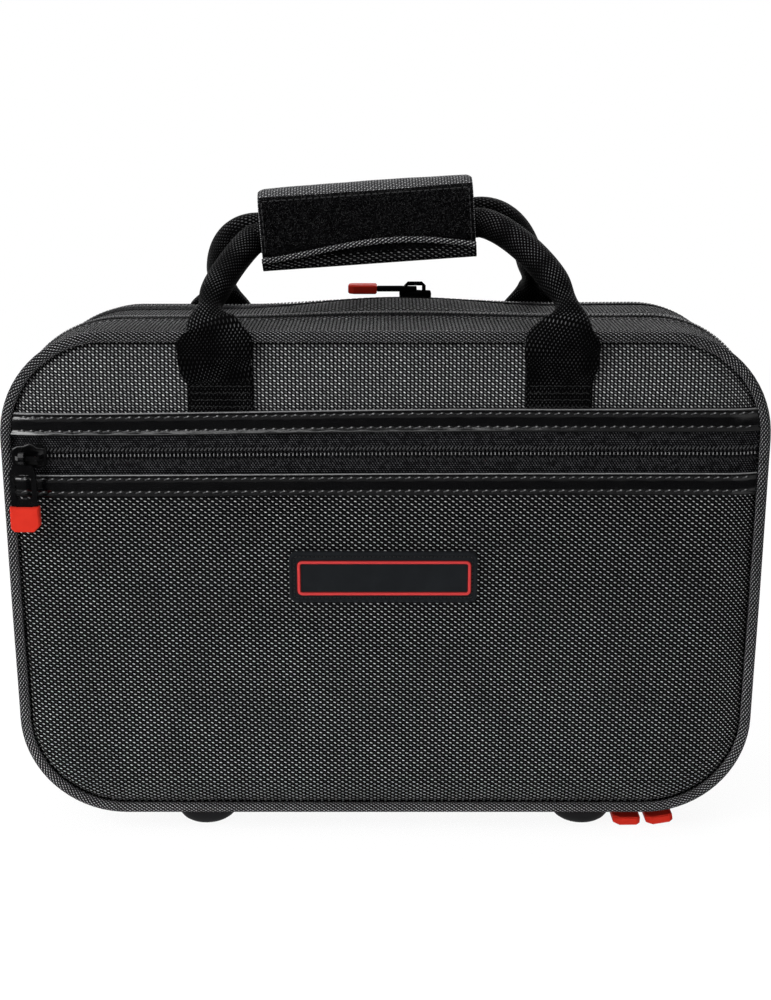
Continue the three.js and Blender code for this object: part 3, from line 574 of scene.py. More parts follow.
def webbing_finish():
    """Tight black webbing with a faint dotted rib, its dots painted lighter where it faces up and darker
    where it faces down: painted light and shade.
    """
    dark, light = (0.001, 0.001, 0.0011), (0.125, 0.125, 0.13)
    f = Finish("webbing", dark, 0.6, 0.02)
    u, v = f.cloth()
    spots = f.lattice(u, v, (2.5, 1.8), (0.44, 0.34), slant=-0.3)
    ribs = f.math("ABSOLUTE", f.math("SINE", f.times(v, PI / 0.95)))
    patch = f.ramp(f.noise(90), 0.35, 0.7, 0.15, 0.8)
    # Painted light and shade: the dots lighter where the webbing faces up, darker where it faces down.
    facing_for_painted_light = f.part(f.node("NewGeometry").outputs["Normal"], "Z")
    patch_and_painted_light = f.times(patch, f.ramp(facing_for_painted_light, -0.1, 0.7, 0.45, 2.0))
    f.color(f.times(spots, patch_and_painted_light), dark, light)
    f.bump(f.plus(f.times(ribs, 0.5), spots), 0.3)
    return f.material


def tape_finish():
    """Fine twill of a zip's tape."""
    dark, light = (0.0016, 0.0016, 0.002), (0.11, 0.11, 0.118)
    f = Finish("zip_tape", dark, 0.6, 0.03)
    u, v = f.cloth()
    spots = f.lattice(u, v, (1.3, 2.0), (0.4, 0.36), slant=0.4)
    f.color(f.times(spots, f.ramp(f.noise(500), 0.3, 0.7, 0.2, 1.0)), dark, light)
    f.bump(spots, 0.14)
    return f.material


def coil_finish():
    f = Finish("coil", (0.006, 0.006, 0.0065), 0.28, 0.12)
    f.roughness(f.noise(900), 0.3, 0.7, 0.2, 0.42)
    f.color(f.noise(300), (0.003, 0.003, 0.0035), (0.01, 0.01, 0.011))
    return f.material


def trim_finish():
    """Glossy imitation leather with a fine grain and a little unevenness."""
    f = Finish("trim", (0.005, 0.005, 0.006), 0.24, 0.7)
    grain = f.cells(1100)
    grain.feature = "DISTANCE_TO_EDGE"
    f.bump(f.ramp(grain.outputs["Distance"], 0.0, 0.25), 0.03, 0.3)
    f.bump(f.noise(60, 3.0), 0.7, 0.35)
    f.roughness(f.noise(140, 3.0), 0.35, 0.7, 0.1, 0.22)
    f.color(f.noise(35), (0.0012, 0.0012, 0.0015), (0.003, 0.003, 0.0035))
    return f.material


def edge_highlight_finish():
    """The pressed edge of a trim: shiny, and light grey as a painted highlight along its fold."""
    f = Finish("pressed_edge_painted_highlight", (0.15, 0.15, 0.155), 0.36, 1.0)
    # A painted highlight: light grey along the edge, varying at random.
    f.color(f.noise(400), (0.13, 0.13, 0.132), (0.3, 0.3, 0.305))
    f.bump(f.noise(900), 0.05)
    return f.material


def thread_finish(name, color):
    f = Finish(name, color, 0.5, 0.4)
    f.color(f.noise(1500), tuple(c * 0.45 for c in color), color)
    f.bump(f.noise(4000), 0.1)
    return f.material


def metal_finish(name, metallic, shine):
    """Black coated zinc with faint scuffs."""
    f = Finish(name, (0.004, 0.004, 0.0045), 0.2, shine, Metallic=metallic)
    scuffs = f.noise(220, 4.0)
    f.roughness(scuffs, 0.3, 0.75, 0.14, 0.3)
    f.color(scuffs, (0.0015, 0.0015, 0.0018), (0.006, 0.006, 0.0065))
    f.bump(f.noise(1400), 0.02, 0.5)
    return f.material


def red_finish():
    f = Finish("red_rubber", (0.7, 0.025, 0.016), 0.5, 0.01)
    f.color(f.noise(160, 3.0), (0.54, 0.022, 0.014), (0.68, 0.04, 0.022))
    f.roughness(f.noise(700), 0.3, 0.7, 0.36, 0.5)
    f.bump(f.noise(2500), 0.03, 0.6)
    return f.material


def red_line_finish():
    """The badge's raised red line, dark on its flanks as painted shade."""
    f = Finish("red_line", (0.55, 0.045, 0.045), 0.45, 0.1)
    # Painted shade: the line darker down its flanks, by depth.
    top = f.ramp(f.part(f.place(), "Y"), RED_LINE_FLANK * MM, RED_LINE_TOP * MM)
    f.color(top, (0.11, 0.004, 0.004), (0.55, 0.045, 0.045))
    f.bump(f.noise(2500), 0.03, 0.6)
    return f.material


def rubber_finish(name, dark, light):
    f = Finish(name, dark, 0.58, 0.06)
    f.color(f.noise(120, 3.0), dark, light)
    f.bump(f.noise(1800), 0.06, 0.7)
    return f.material


def pile_finish(name, dark, light, scale, depth, sheen):
    """Short pile: plush lining or the loops of a hook-and-loop panel."""
    f = Finish(name, dark, 0.95, 0.03, Sheen_Weight=sheen, Sheen_Roughness=0.4)
    tuft = f.cells(scale).outputs["Distance"]
    lie = f.noise(scale * 0.08, 3.0)
    f.color(f.times(f.ramp(tuft, 0.7, 0.1), lie), dark, light)
    f.bump(f.plus(f.ramp(tuft, 0.8, 0.0), f.noise(scale * 0.3)), depth)
    return f.material


NYLON = nylon_finish("nylon", (0.0008, 0.0008, 0.001), (0.84, 0.84, 0.86))
NYLON_BIAS = nylon_finish(
    "nylon_bias", (0.001, 0.001, 0.0013), (0.62, 0.62, 0.64), (2.3, 1.6), spot=(0.44, 0.28), ground=0.05
)
NYLON_UPRIGHT = nylon_finish(
    "nylon_upright", (0.002, 0.002, 0.0025), (0.98, 0.98, 1.0), spot=(0.47, 0.47), ground=0.16
)
NYLON_WRAP = nylon_finish(
    "nylon_wrap", (0.016, 0.016, 0.017), (0.7, 0.7, 0.72), (2.7, 2.1), spot=(0.44, 0.4), ground=0.3
)
NYLON_SHADED = nylon_finish("nylon_shaded", (0.001, 0.001, 0.0012), (0.4, 0.4, 0.41))
NYLON_HEM = nylon_finish(
    "nylon_hem", (0.004, 0.004, 0.005), (0.9, 0.9, 0.92), (2.7, 1.5), spot=(0.46, 0.32), ground=0.04
)
WEBBING = webbing_finish()
TAPE = tape_finish()
COIL = coil_finish()
TRIM = trim_finish()
# Pale thread: a painted highlight on the upper end of each trim stitch.
THREAD_HIGHLIGHT = thread_finish("thread_painted_highlight", (0.36, 0.36, 0.365))
DARK_THREAD = thread_finish("dark_thread", (0.028, 0.028, 0.03))
# Black thread, also used as painted shade in the trims' needle holes.
BLACK_THREAD_AND_HOLE_SHADE = thread_finish("black_thread_and_hole_shade", (0.007, 0.007, 0.0075))
EDGE_HIGHLIGHT = edge_highlight_finish()
# The coil's heads: light grey as a painted highlight on the black coil.
HEADS_HIGHLIGHT = thread_finish("coil_heads_painted_highlight", (0.34, 0.34, 0.345))
COIL_THREAD = thread_finish("coil_thread", (0.09, 0.09, 0.094))
# The lower row's coil thread: darker, as painted shade.
LOW_THREAD_SHADE = thread_finish("low_thread_painted_shade", (0.03, 0.03, 0.032))
METAL = metal_finish("black_metal", 0.3, 0.5)
DULL_METAL = metal_finish("dull_metal", 0.0, 0.0)
RED = red_finish()
RED_LINE = red_line_finish()
RUBBER = rubber_finish("black_rubber", (0.007, 0.007, 0.0075), (0.015, 0.015, 0.016))
BADGE_RUBBER = rubber_finish("badge_rubber", (0.008, 0.009, 0.0105), (0.013, 0.015, 0.017))
FOAM = pile_finish("foam_lining", (0.012, 0.012, 0.014), (0.06, 0.06, 0.066), 900, 0.25, 0.3)
PLUSH = pile_finish("plush", (0.01, 0.01, 0.012), (0.05, 0.05, 0.056), 700, 0.4, 0.45)
PILE = pile_finish("loop_pile", (0.001, 0.001, 0.0012), (0.026, 0.026, 0.028), 1300, 0.7, 0.0)
LOOPS = thread_finish("loops", (0.048, 0.048, 0.05))


# The soft shells


def sheet_mesh(name, side):
    """The crowned cloth of the front panel (side -1) or the rear one, its edge turned in."""
    face = FRONT_PANEL_Y if side < 0 else REAR_PANEL_Y
    at = STATIONS[:-1]
    n = len(at)
    insets = [0, 0.4, 0.9, 1.5, 2.2, 3.0, 4.2, 5.8, 8, 11, 14.5, 19, 24, 30]
    rings = []
    for inset in insets:
        ring = skin(face, -(SEAM_INSET + inset), at)
        share = np.minimum(inset / crown_run(ring[:, 0], ring[:, 2]), 1)
        ring[:, 1] += side * (CROWN * (1 - (1 - share) ** 2) - 1.6 * (1 - float(smooth(inset, 0, 2.6))))
        rings.append(ring)
    xs, zs = np.meshgrid(np.arange(-136, 137, 6.8), np.arange(50, 210, 6.4))
    inner = np.stack([xs.ravel(), np.full(xs.size, face + side * CROWN), zs.ravel()], 1)
    points = np.concatenate([*rings, inner])
    near = np.concatenate([np.repeat(insets, n), np.full(len(inner), 40)])
    points[:, 1] += side * waviness(points[:, 0], points[:, 2]) * smooth(near, 2, 20)
    flat = [Vector((p[0], p[2])) for p in points]
    _, _, cut, origins, _, _ = delaunay_2d_cdt(flat, [], [list(range(n))], 1, 1e-5)
    faces = [[origins[i][0] for i in face_points] for face_points in cut]
    start = len(points)
    turned = [rings[0] + [0, -side * depth, 0] for depth in (0.7, 1.5)]
    turned[0][:, [0, 2]] = rings[0][:, [0, 2]] - at[:, 2:4] * -0.15
    points = np.concatenate([points, *turned])
    faces += between(0, start, n) + between(start, start + n, n)
    faces.append([start + n + k for k in range(n)])
    x, z = points[:, 0], points[:, 2]
    cloth = np.stack([x + 9 * smooth(x, 146, 178) ** 2, z - 6 * smooth(-z, -36, -10) ** 2], 1)
    return make(name, points, faces, cloth, angle=60)


def cut_off(obj, height, up):
    """Cuts a closed piece at a height, keeps what lies above it or below it, and closes the cut."""
    bm = bmesh.new()
    bm.from_mesh(obj.data)
    parts = bm.verts[:] + bm.edges[:] + bm.faces[:]
    plane = {"plane_co": (0, 0, height * MM), "plane_no": (0, 0, -1 if up else 1)}
    cut = bmesh.ops.bisect_plane(bm, geom=parts, clear_outer=True, **plane)
    bmesh.ops.holes_fill(bm, edges=[e for e in cut["geom_cut"] if isinstance(e, bmesh.types.BMEdge)])
    bm.to_mesh(obj.data)
    bm.free()
    obj.data.set_sharp_from_angle(angle=math.radians(60))


def build_panels():
    front = put(sheet_mesh("front_upper_cloth", -1), "lid", NYLON_UPRIGHT, "nylon", "front_upper_panel")
    cut_off(front, POCKET_ZIP_Z + TRIM_AWAY, up=True)
    pocket = put(sheet_mesh("pocket_cloth", -1), "lid", NYLON, "nylon", "front_pocket_panel")
    cut_off(pocket, POCKET_ZIP_Z - TRIM_AWAY, up=False)
    rear = put(sheet_mesh("rear_cloth", 1), "base", NYLON, "nylon", "rear_panel")


def build_pocket_walls():
    walls = (
        ("pocket_lining", (-49.2, -48.0), "lid", "pocket_inner_wall"),
        ("rear_lining", (52.0, 53.2), "base", "rear_pocket_wall"),
    )
    for name, depths, body, node in walls:
        loops = [skin(y, -SEAM_INSET - 0.2, STATIONS[:-1]) for y in depths]
        n = len(loops[0])
        verts = np.concatenate(loops)
        wall = make(name, verts, joined(2, n), verts[:, [0, 2]])
        put(wall, body, NYLON, "nylon", node)


def tube_profile(edge, inward):
    centre = edge + inward * PIPING_RADIUS
    angles = (np.arange(16) + 0.5) / 16 * 2 * PI
    height = PIPING_PROUD - PIPING_RADIUS
    return [(centre + PIPING_RADIUS * math.cos(a), height + PIPING_RADIUS * math.sin(a)) for a in angles]


def gusset_profile(edge, hem):
    """Cloth from the piping's seam to the hem beside the zip, where it is folded under."""
    inward = 1 if hem > edge else -1
    seam = [(0, -0.9), (0.6, -0.35), (2.2, 0.05), (5, 0.15), (SEAM_STITCHES, -0.1), (8, 0.2)]
    folded = [(4.2, 0.1), (3.2, 0.4), (0.7, 0.45), (0, 0.1), (0, -0.7), (1.0, -1.0)]
    span = (hem - inward * 6 - (edge + inward * 8)) / 5
    points = [(edge + inward * y, out) for y, out in seam]
    points += [(edge + inward * 8 + span * k, 0.25) for k in range(1, 6)]
    points += [(hem - inward * y, out) for y, out in folded]
    return points + [(edge, -1.6)]


def sew_gusset(name, y, body):
    put(stitches(name, skin(y, 0.25), 3.4, 2.5, 0.3), body, DARK_THREAD, "nylon")


def build_gussets():
    halves = (("lid", "front", FRONT_Y, 1), ("base", "rear", REAR_Y, -1))
    for body, label, edge, inward in halves:
        piping = band(f"{label}_piping_cover", tube_profile(edge, inward))
        put(piping, body, NYLON_BIAS, "nylon", f"{label}_piping")
    for body, _, edge, inward in halves:
        hem = ZIP_Y - inward * HEM_AWAY
        gusset = band(f"{body}_gusset_cloth", gusset_profile(edge + inward * GUSSET_EDGE, hem))
        put(gusset, body, NYLON, "nylon", f"{body}_gusset")
    for body, _, edge, inward in halves:
        sew_gusset(f"{body}_seam_stitches", edge + inward * (GUSSET_EDGE + SEAM_STITCHES), body)
    for body, _, _, inward in halves:
        sew_gusset(f"{body}_hem_stitches", ZIP_Y - inward * (HEM_AWAY + HEM_STITCHES), body)


def build_hinge():
    """The cloth strip that joins the halves along the bottom, gathered a little on its fold."""
    half = 8.4
    xs = np.linspace(-109.6, 109.6, 60)
    ys = np.linspace(-half, half, 15)
    under = LOW - (1 - (ys / 56) ** 2)
    rows = []
    for height in (0.1, 1.3):
        for x in xs:
            sag = 0.12 * math.sin(x / 4.1) * np.cos(ys / half * PI / 2)
            rows.append(row_at(x, ZIP_Y + ys, under + height + sag))
    verts = np.concatenate(rows)
    strip = make("hinge_cloth", verts, slab(len(xs), len(ys)), verts[:, :2])
    strip.data.materials.append(NYLON)
    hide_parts("hinge_strip")
    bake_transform(strip)


# The zips


def zip_coil(name, line, side, body, outward=None, thread=COIL_THREAD):
    """One half of a coil: heads on the middle line, light grey as a painted highlight, dark legs behind,
    and their thread.
    """
    place, t = along(line, COIL_PITCH, COIL_PITCH / 2)
    n = np.cross([0, 1, 0], t) if outward is None else np.array(outward)
    s = np.array(side)
    for label, start, stop, radius, material in (
        ("heads", s * 0.05 + n * 0.55, s * 0.4 + n * 0.5, 0.27, HEADS_HIGHLIGHT),
        ("legs", s * 0.75 + n * 0.1, s * 2.3 - n * 0.2 + t * 0.3, 0.5, COIL),
        ("thread", s * 2.05 + n * 0.3 - t * 0.45, s * 3.05 + n * 0.1 + t * 0.45, 0.28, thread),
    ):
        put(capsules(f"{name}_{label}", place + start, place + stop, radius), body, material, "zip_tape")


def skin_tape(name, middle, side, width, heights, first, last, body, node):
    """One side of a zip's tape on the skin, raised where the coil is sewn to it."""
    across = [width, width, 2.9, 2.5, 0.4, 0.2, 0.2]
    profile = [(middle + side * y, out) for y, out in zip(across, heights)]
    put(band(name, profile, first, last, capped=True), body, TAPE, "zip_tape", node)


def build_main_zip():
    first = int(np.searchsorted(STATIONS[:40, 0], 109.0))
    last = len(STATIONS) - first
    line = skin(ZIP_Y, 0.7, STATIONS[first:last])
    beyond_slider = int(np.argmax(line[:, 0] >= CORNER_X))
    heights = [-1.0, -0.35, -0.3, 0.1, 0.3, 0.1, -1.0]
    for side, body, start in ((-1, "lid", 0), (1, "base", beyond_slider)):
        skin_tape(f"{body}_zip_cloth", ZIP_Y, side, 7.6, heights, first, last, body, f"{body}_zip_tape")
        zip_coil(f"{body}_zip_coil", line[start:], [0, side, 0], body)


def build_top_zip():
    first = TOP_CORNER + 9
    last = len(STATIONS) - first
    at = STATIONS[first:last]
    heights = [0.55, 0.75, 0.8, 1.1, 1.3, 1.1, 0.6]
    for side, label in ((-1, "front"), (1, "rear")):
        name = f"top_zip_{label}"
        skin_tape(f"{name}_cloth", TOP_ZIP_Y, side, 8.4, heights, first, last, "base", f"{name}_tape")
        zip_coil(f"{name}_coil", skin(TOP_ZIP_Y, 1.3, at), [0, side, 0], "base")
        sewn = stitches(f"{name}_stitches", skin(TOP_ZIP_Y + side * 5.2, 0.95, at), 3.0, 2.2, 0.25)
        put(sewn, "base", DARK_THREAD, "zip_tape")


def build_pocket_zip():
    share = np.linspace(-1, 1, 120)
    for side, label in ((-1, "lower"), (1, "upper")):
        name = f"pocket_zip_{label}"
        heights = side * np.array([0.2, 0.2, 2.3, 2.9, 6.5, 12.8, 12.8, 0.2])
        depths = [1.3, 0.2, 0.1, 0.45, 0.5, 0.5, 1.3, 1.3]
        rows = []
        for up, back in zip(heights, depths):
            z = POCKET_ZIP_Z + up
            x = share * (seam_x(z) - 0.5)
            rows.append(on_front(x, z, -back, bow(x, POCKET_BOW)))
        verts = np.concatenate(rows)
        faces = grid(len(rows), len(share)) + grid_ends(len(rows) - 1, len(share))
        tape = make(f"{name}_cloth", verts, faces, verts[:, [0, 2]])
        put(tape, "lid", TAPE, "zip_tape", f"{name}_tape")
        x = np.linspace(-seam_x(POCKET_ZIP_Z) + 2, seam_x(POCKET_ZIP_Z) - 2, 300)
        line = on_front(x, POCKET_ZIP_Z, 0.55, bow(x, POCKET_BOW))
        # The lower half's thread is darker, as painted shade.
        thread = COIL_THREAD if side > 0 else LOW_THREAD_SHADE
        zip_coil(f"{name}_coil", line, [0, 0, side], "lid", [0, -1, 0], thread)


# The front pocket's trims


def trim_strip(name, middle, rise, roll, node):
    """The strip itself, pulled down along two rows of stitches, its lower edge rolled up."""
    low = [0.98 + roll * share for share in (0.8, 1.0, 0.96, 0.73, 0.48, 0.24, 0.0)]
    proud = [0.0, *low, 1.15, 1.22, 1.25, 1.25, 1.18, 0.95, 1.25, 1.3, 1.2, 0.9, 0.0]
    heights = [-5.15, -5.15, -5.0, -4.7, -4.3, -3.9, -3.5, -TRIM_STITCHES, -2.9, -1.2, 0]
    heights += [1.2, 2.6, TRIM_STITCHES, 3.5, 4.4, 4.9, 5.15, 5.15]
    share = np.linspace(-1, 1, 160)
    rows = []
    for up, out in zip(heights, proud):
        x = share * (seam_x(middle + up) - 0.4)
        z = middle + up + bow(x, rise)
        pull = 1 + 0.07 * np.sin(x / 2.2) * (abs(abs(up) - TRIM_STITCHES) < 0.8)
        pull += 0.05 * np.sin(x / 19 + up) * (up < -3.5)
        rows.append(on_front(x, z, 0.1 + out * pull))
    verts = np.concatenate(rows)
    cols = len(share)
    last = (len(rows) - 1) * cols
    faces = grid(len(rows), cols) + [(c, c + 1, last + c + 1, last + c) for c in range(cols - 1)]
    faces += grid_ends(len(rows), cols)
    put(make(name, verts, faces, verts[:, [0, 2]], angle=50), "lid", TRIM, "trim", node)


def build_trim(name, middle, rise, roll, node):
    """A folded strip with a pressed top edge and two rows of stitches in their holes, with a painted
    highlight on each stitch's upper end and painted shade as a black spot in each hole.
    """
    trim_strip(name, middle, rise, roll, node)

    def line_at(up, inset, out):
        half = seam_x(middle + up) - inset
        x = np.linspace(-half, half, 300)
        return on_front(x, middle + up + bow(x, rise), out)

    line = line_at(5.0, 1, 1.35)
    # The pressed edge, light grey as a painted highlight.
    put(capsules(f"{name}_edge", line[:-1], line[1:], 0.3), "lid", EDGE_HIGHLIGHT, "trim")
    lean = np.array([0, 0, 0.32])
    for row, up in (("lower", -TRIM_STITCHES), ("upper", TRIM_STITCHES)):
        place, t = along(line_at(up, 3, 1.2), 4.4, 2.0)
        # A black spot in each needle hole, as painted shade.
        hole = place + t * 1.8 + [0, 0.12, 0.1]
        # Each stitch: a dark tail of thread and a pale upper end, a painted highlight.
        for label, start, stop, radius, thread in (
            ("tails", place - t * 1.0 - lean, place + t * 0.4 + lean * 0.4, 0.28, COIL_THREAD),
            ("stitches", place + t * 0.45 + lean * 0.5, place + t * 0.95 + lean, 0.33, THREAD_HIGHLIGHT),
            ("holes", hole - t * 0.15, hole + t * 0.15, 0.55, BLACK_THREAD_AND_HOLE_SHADE),
        ):
            put(capsules(f"{name}_{row}_{label}", start, stop, radius), "lid", thread, "trim")


# Badge and feet


def build_badge():
    middle_z = BOTTOM_Z + 120.7

    def loop(inset, y, width=87.4, height=24.5, x=-1.0, up=0.4, corner=3.6):
        flat = rounded_loop(width - 2 * inset, height - 2 * inset, max(corner - inset, 0.4))
        return np.stack([flat[:, 0] + x, np.full(len(flat), y), flat[:, 1] + middle_z + up], 1)

    plate = [(0, FRONT_Y), (0, -55.6), (0.15, -55.95), (0.5, -56.15), (1.1, -56.1)]
    plate += [(1.35, -55.8), (1.6, -55.7), (3.4, -55.65)]
    face = stack("badge_plate", [loop(inset, y) for inset, y in plate])
    put(face, "lid", BADGE_RUBBER, "black_rubber", "badge")
    half = [(0, -55.55), (0.25, RED_LINE_FLANK), (0.5, RED_LINE_TOP), (0.8, -56.35)]
    ridge = half + [(2.0 - inset, y) for inset, y in half[::-1]]
    line = [loop(inset, y, 81.2, 17.2, -0.6, 0.0, 2.6) for inset, y in ridge]
    put(stack("badge_red_line", line, looped=True), "lid", RED_LINE, "red_rubber", "badge_frame")
    seam = loop(2.4, -55.75)
    sewn = stitches("badge_stitches", np.vstack([seam, seam[:1]]), 1.9, 1.4, 0.3)
    put(sewn, "lid", BLACK_THREAD_AND_HOLE_SHADE, "black_rubber")


def build_feet():
    profile = [(5.6, 0.15), (6.3, 0.0), (7.4, 0.05), (9.4, 0.45), (11.4, 1.3), (13, 2.5)]
    profile += [(14.2, 4.1), (14.8, 6), (15, 8)]
    angles = np.arange(48) / 48 * 2 * PI
    for row, body, y in (("front", "lid", FRONT_FEET_Y), ("rear", "base", REAR_FEET_Y)):
        top = box_mm(f"{row}_foot_left")[1][2]
        for side, x in (("left", LEFT_FEET_X), ("right", RIGHT_FEET_X)):
            layers = []
            for r, z in profile + [(15, top + 0.25)]:
                layers.append(np.stack([x + r * np.cos(angles), y + r * np.sin(angles), np.full(48, z)], 1))
            foot = stack(f"{row}_{side}_foot_rubber", layers)
            put(foot, body, RUBBER, "black_rubber", f"{row}_foot_{side}")


# Handles


def bezier(points, count):
    p = np.array(points, float)
    t = np.linspace(0, 1, count)[:, None]
    return (1 - t) ** 3 * p[0] + 3 * (1 - t) ** 2 * t * p[1] + 3 * (1 - t) * t**2 * p[2] + t**3 * p[3]


def spline(points, count):
    """A smooth line through points, evenly spaced."""
    p = np.array(points, float)
    p = np.vstack([2 * p[0] - p[1], p, 2 * p[-1] - p[-2]])
    fine = []
    for k in range(1, len(p) - 2):
        a, b, c, d = p[k - 1 : k + 3]
        for t in np.linspace(0, 1, 12, endpoint=False):
            square = (2 * a - 5 * b + 4 * c - d) * t * t
            cube = (3 * b - a - 3 * c + d) * t**3
            fine.append(0.5 * (2 * b + (c - a) * t + square + cube))
    fine = np.array(fine + [p[-2]])
    run = lengths(fine)
    spots = np.linspace(0, run[-1], count)
    return np.stack([np.interp(spots, run, fine[:, k]) for k in range(fine.shape[1])], 1)


class Strap:
    """One handle: webbing sewn to the panel, bulging over the edge and folded into a round grip.

    Fold and grip are (depth, height) points and tabs the x of their middles. The two middle points
    of a leg's curve are shares of the way from the wrap's end to the tab and from fold to grip.
    """

    def __init__(self, label, side, fold, grip, tabs, curves):
        self.label = label
        self.side = side
        self.fold = np.array(fold)
        self.grip = grip
        self.tabs = tabs
        self.curves = curves
        self.body = "lid" if side < 0 else "base"

    def grip_at(self, x):
        return np.array([self.grip[0], self.grip[1] + (x - WRAP_X) * math.tan(WRAP_TILT)])

    def leg(self, label, hand, aside):
        """Points with their share of the rise, from the tab's lower edge to the wrap's end."""
        tab = self.tabs[label]
        low = TAB_LOW + (bow(tab, UPPER_TRIM_BOW) if self.side < 0 else 0)
        bulge = ((low, 1.0), (218, 1.1), (225.5, 1.4), (229, 2.9), (234, 5.0), (240, 6.0))
        rows = []
        for z, out in bulge:
            y = panel_face(tab, z, self.side) + self.side * out
            rows.append((tab + hand * aside * float(smooth(z, 225, 234)), y, z, 0.0))
        end_x = WRAP_X + hand * (WRAP_LENGTH / 2 + 3)
        for share, rise in bezier([(1, 0), *self.curves[label], (0, 1)], 40)[3:]:
            x = end_x + (tab - end_x) * share
            y, z = self.fold + (self.grip_at(x) - self.fold) * rise
            rows.append((x, y, z, rise))
        return rows

    def path(self):
        left = self.leg("left", -1, 2.0)
        right = self.leg("right", 1, 0.8)
        middle = [(x, *self.grip_at(x), 1.0) for x in WRAP_X + np.linspace(-48, 48, 17)]
        line = spline(left + middle + right[::-1], 220)
        return line[:, :3], np.clip(line[:, 3], 0, 1)

    def directions(self, centres):
        """Directions across the webbing and through it at each point of its path."""
        tangent = unit(np.gradient(centres, axis=0))
        lean = unit(np.array([0, *(np.array(self.grip) - self.fold)]))
        blend = smooth(centres[:, 2], self.fold[1] - 12, self.fold[1] + 6)[:, None]
        plane = np.array([0, 0, 1.0]) * (1 - blend) + lean * blend
        across = unit(np.cross(unit(np.cross([1.0, 0, 0], plane)), tangent))
        return across, np.cross(tangent, across)

    def rings(self):
        """Sections of the webbing: flat below, opening out, then folded into the grip."""
        centres, rise = self.path()
        across, through = self.directions(centres)
        folded = smooth(centres[:, 2], self.fold[1] - 4, self.fold[1] + 11)
        neck = 1 - 0.26 * np.exp(-(((rise - 0.27) / 0.11) ** 2))
        run = lengths(centres)
        angles = (np.arange(STRAP_SIDES + 1) + 0.5) / STRAP_SIDES * 2 * PI
        c, d = np.cos(angles), np.sin(angles)
        fold_line = np.exp(-((angles % (2 * PI) - 1.5 * PI) ** 2) / 0.02)
        rings, cloth = [], []
        for k, centre in enumerate(centres):
            s = folded[k]
            loose = smooth(centre[2], 226, 235) * (1 - s)
            round_part = GRIP_RADIUS * neck[k] * s
            half_w = (WEBBING_WIDTH / 2 + 1.8 * loose) * (1 - s) + round_part
            half_t = (0.75 + 1.6 * loose * smooth(centre[2], 234, 247)) * (1 - s) + round_part
            power = 0.3 * (1 - s) + s
            wide = half_w * np.sign(c) * np.abs(c) ** power
            thick = half_t * np.sign(d) * np.abs(d) ** power
            curl = self.side * 1.6 * loose * (wide / half_w) ** 2
            off = (thick + curl) * (1 - 0.9 * s * fold_line / 7)
            rings.append(centre + wide[:, None] * across[k] + off[:, None] * through[k])
            around = lengths(np.stack([wide, thick], 1))
            cloth.append(np.stack([np.full(len(around), run[k]), around - around[-1] / 4], 1))
        return rings, cloth

    def build(self):
        rings, cloth = self.rings()
        n = STRAP_SIDES + 1
        faces = grid(len(rings), n) + loop_ends(len(rings), n, STRAP_SIDES)
        obj = make(f"{self.label}_strap", np.concatenate(rings), faces, np.concatenate(cloth), angle=60)
        obj.data.materials.append(WEBBING)
        handle = f"{self.label}_handle"
        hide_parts(f"{handle}_loop", f"{handle}_tab_left", f"{handle}_tab_right")
        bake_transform(obj)

    def sew(self):
        """Rows of stitches through both tabs, the top one zigzagged."""
        starts, stops = [], []
        for x_mid in self.tabs.values():
            for row, z in enumerate((213.5, 216.6, 219.7, 222.8, 225.6)):
                for k in range(13):
                    x = x_mid - 12.6 + k * 2.1 + (0.5 if row % 2 else 0)
                    y = panel_face(x, z, self.side) + self.side * 1.85
                    lean = (0.8 if row == 4 else 0.2) * (1 if k % 2 else -1)
                    starts.append((x - 0.7, y, z - lean))
                    stops.append((x + 0.7, y, z + lean))
        sewn = capsules(f"{self.label}_tab_stitches", starts, stops, 0.26, sides=5)
        put(sewn, self.body, BLACK_THREAD_AND_HOLE_SHADE, "webbing")


def build_handles():
    front = Strap(
        "front", -1, fold=(-57.9, 247.0), grip=(-6.9, 288.4), tabs={"left": -74.0, "right": 78.0},
        curves={"left": [(2.3, 0.2), (0.3, 0.97)], "right": [(1.45, 0.2), (0.45, 0.95)]},
    )
    rear = Strap(
        "rear", 1, fold=(61.9, 248.2), grip=(6.9, 292.9), tabs={"left": -84.0, "right": 76.0},
        curves={"left": [(1.1, 0.7), (0.6, 1.02)], "right": [(1, 0.6), (0.5, 1)]},
    )
    for strap in (front, rear):
        strap.build()
        strap.sew()


# The wrap


def wrap_point(points):
    """From the wrap's own length, depth and height to the shared frame."""
    p = np.asarray(points, float)
    c, s = math.cos(WRAP_TILT), math.sin(WRAP_TILT)
    return np.stack([WRAP_X + p[:, 0] * c - p[:, 2] * s, p[:, 1], WRAP_Z + p[:, 0] * s + p[:, 2] * c], 1)


def extruded(name, sections, spots):
    """A closed section of (depth, height) points for each spot along the wrap."""
    n = len(sections[0])
    verts = np.concatenate([row_at(x, *np.transpose(section)) for x, section in zip(spots, sections)])
    around = lengths(np.asarray(sections[len(sections) // 2]))
    cloth = np.concatenate([np.stack([np.full(n, x), around], 1) for x in spots])
    return make(name, wrap_point(verts), joined(len(spots), n), cloth, angle=50)


def opened(loop, slit):
    """The loop from one lip of the slit in its bottom round to the other."""
    bottom = loop[:, 1].min()
    start = next(k for k in range(len(loop)) if loop[k, 0] > slit and loop[k, 1] <= bottom + 1e-6)
    return np.vstack([[slit + 0.35, bottom], np.roll(loop, -start, axis=0), [slit - 0.35, bottom]])


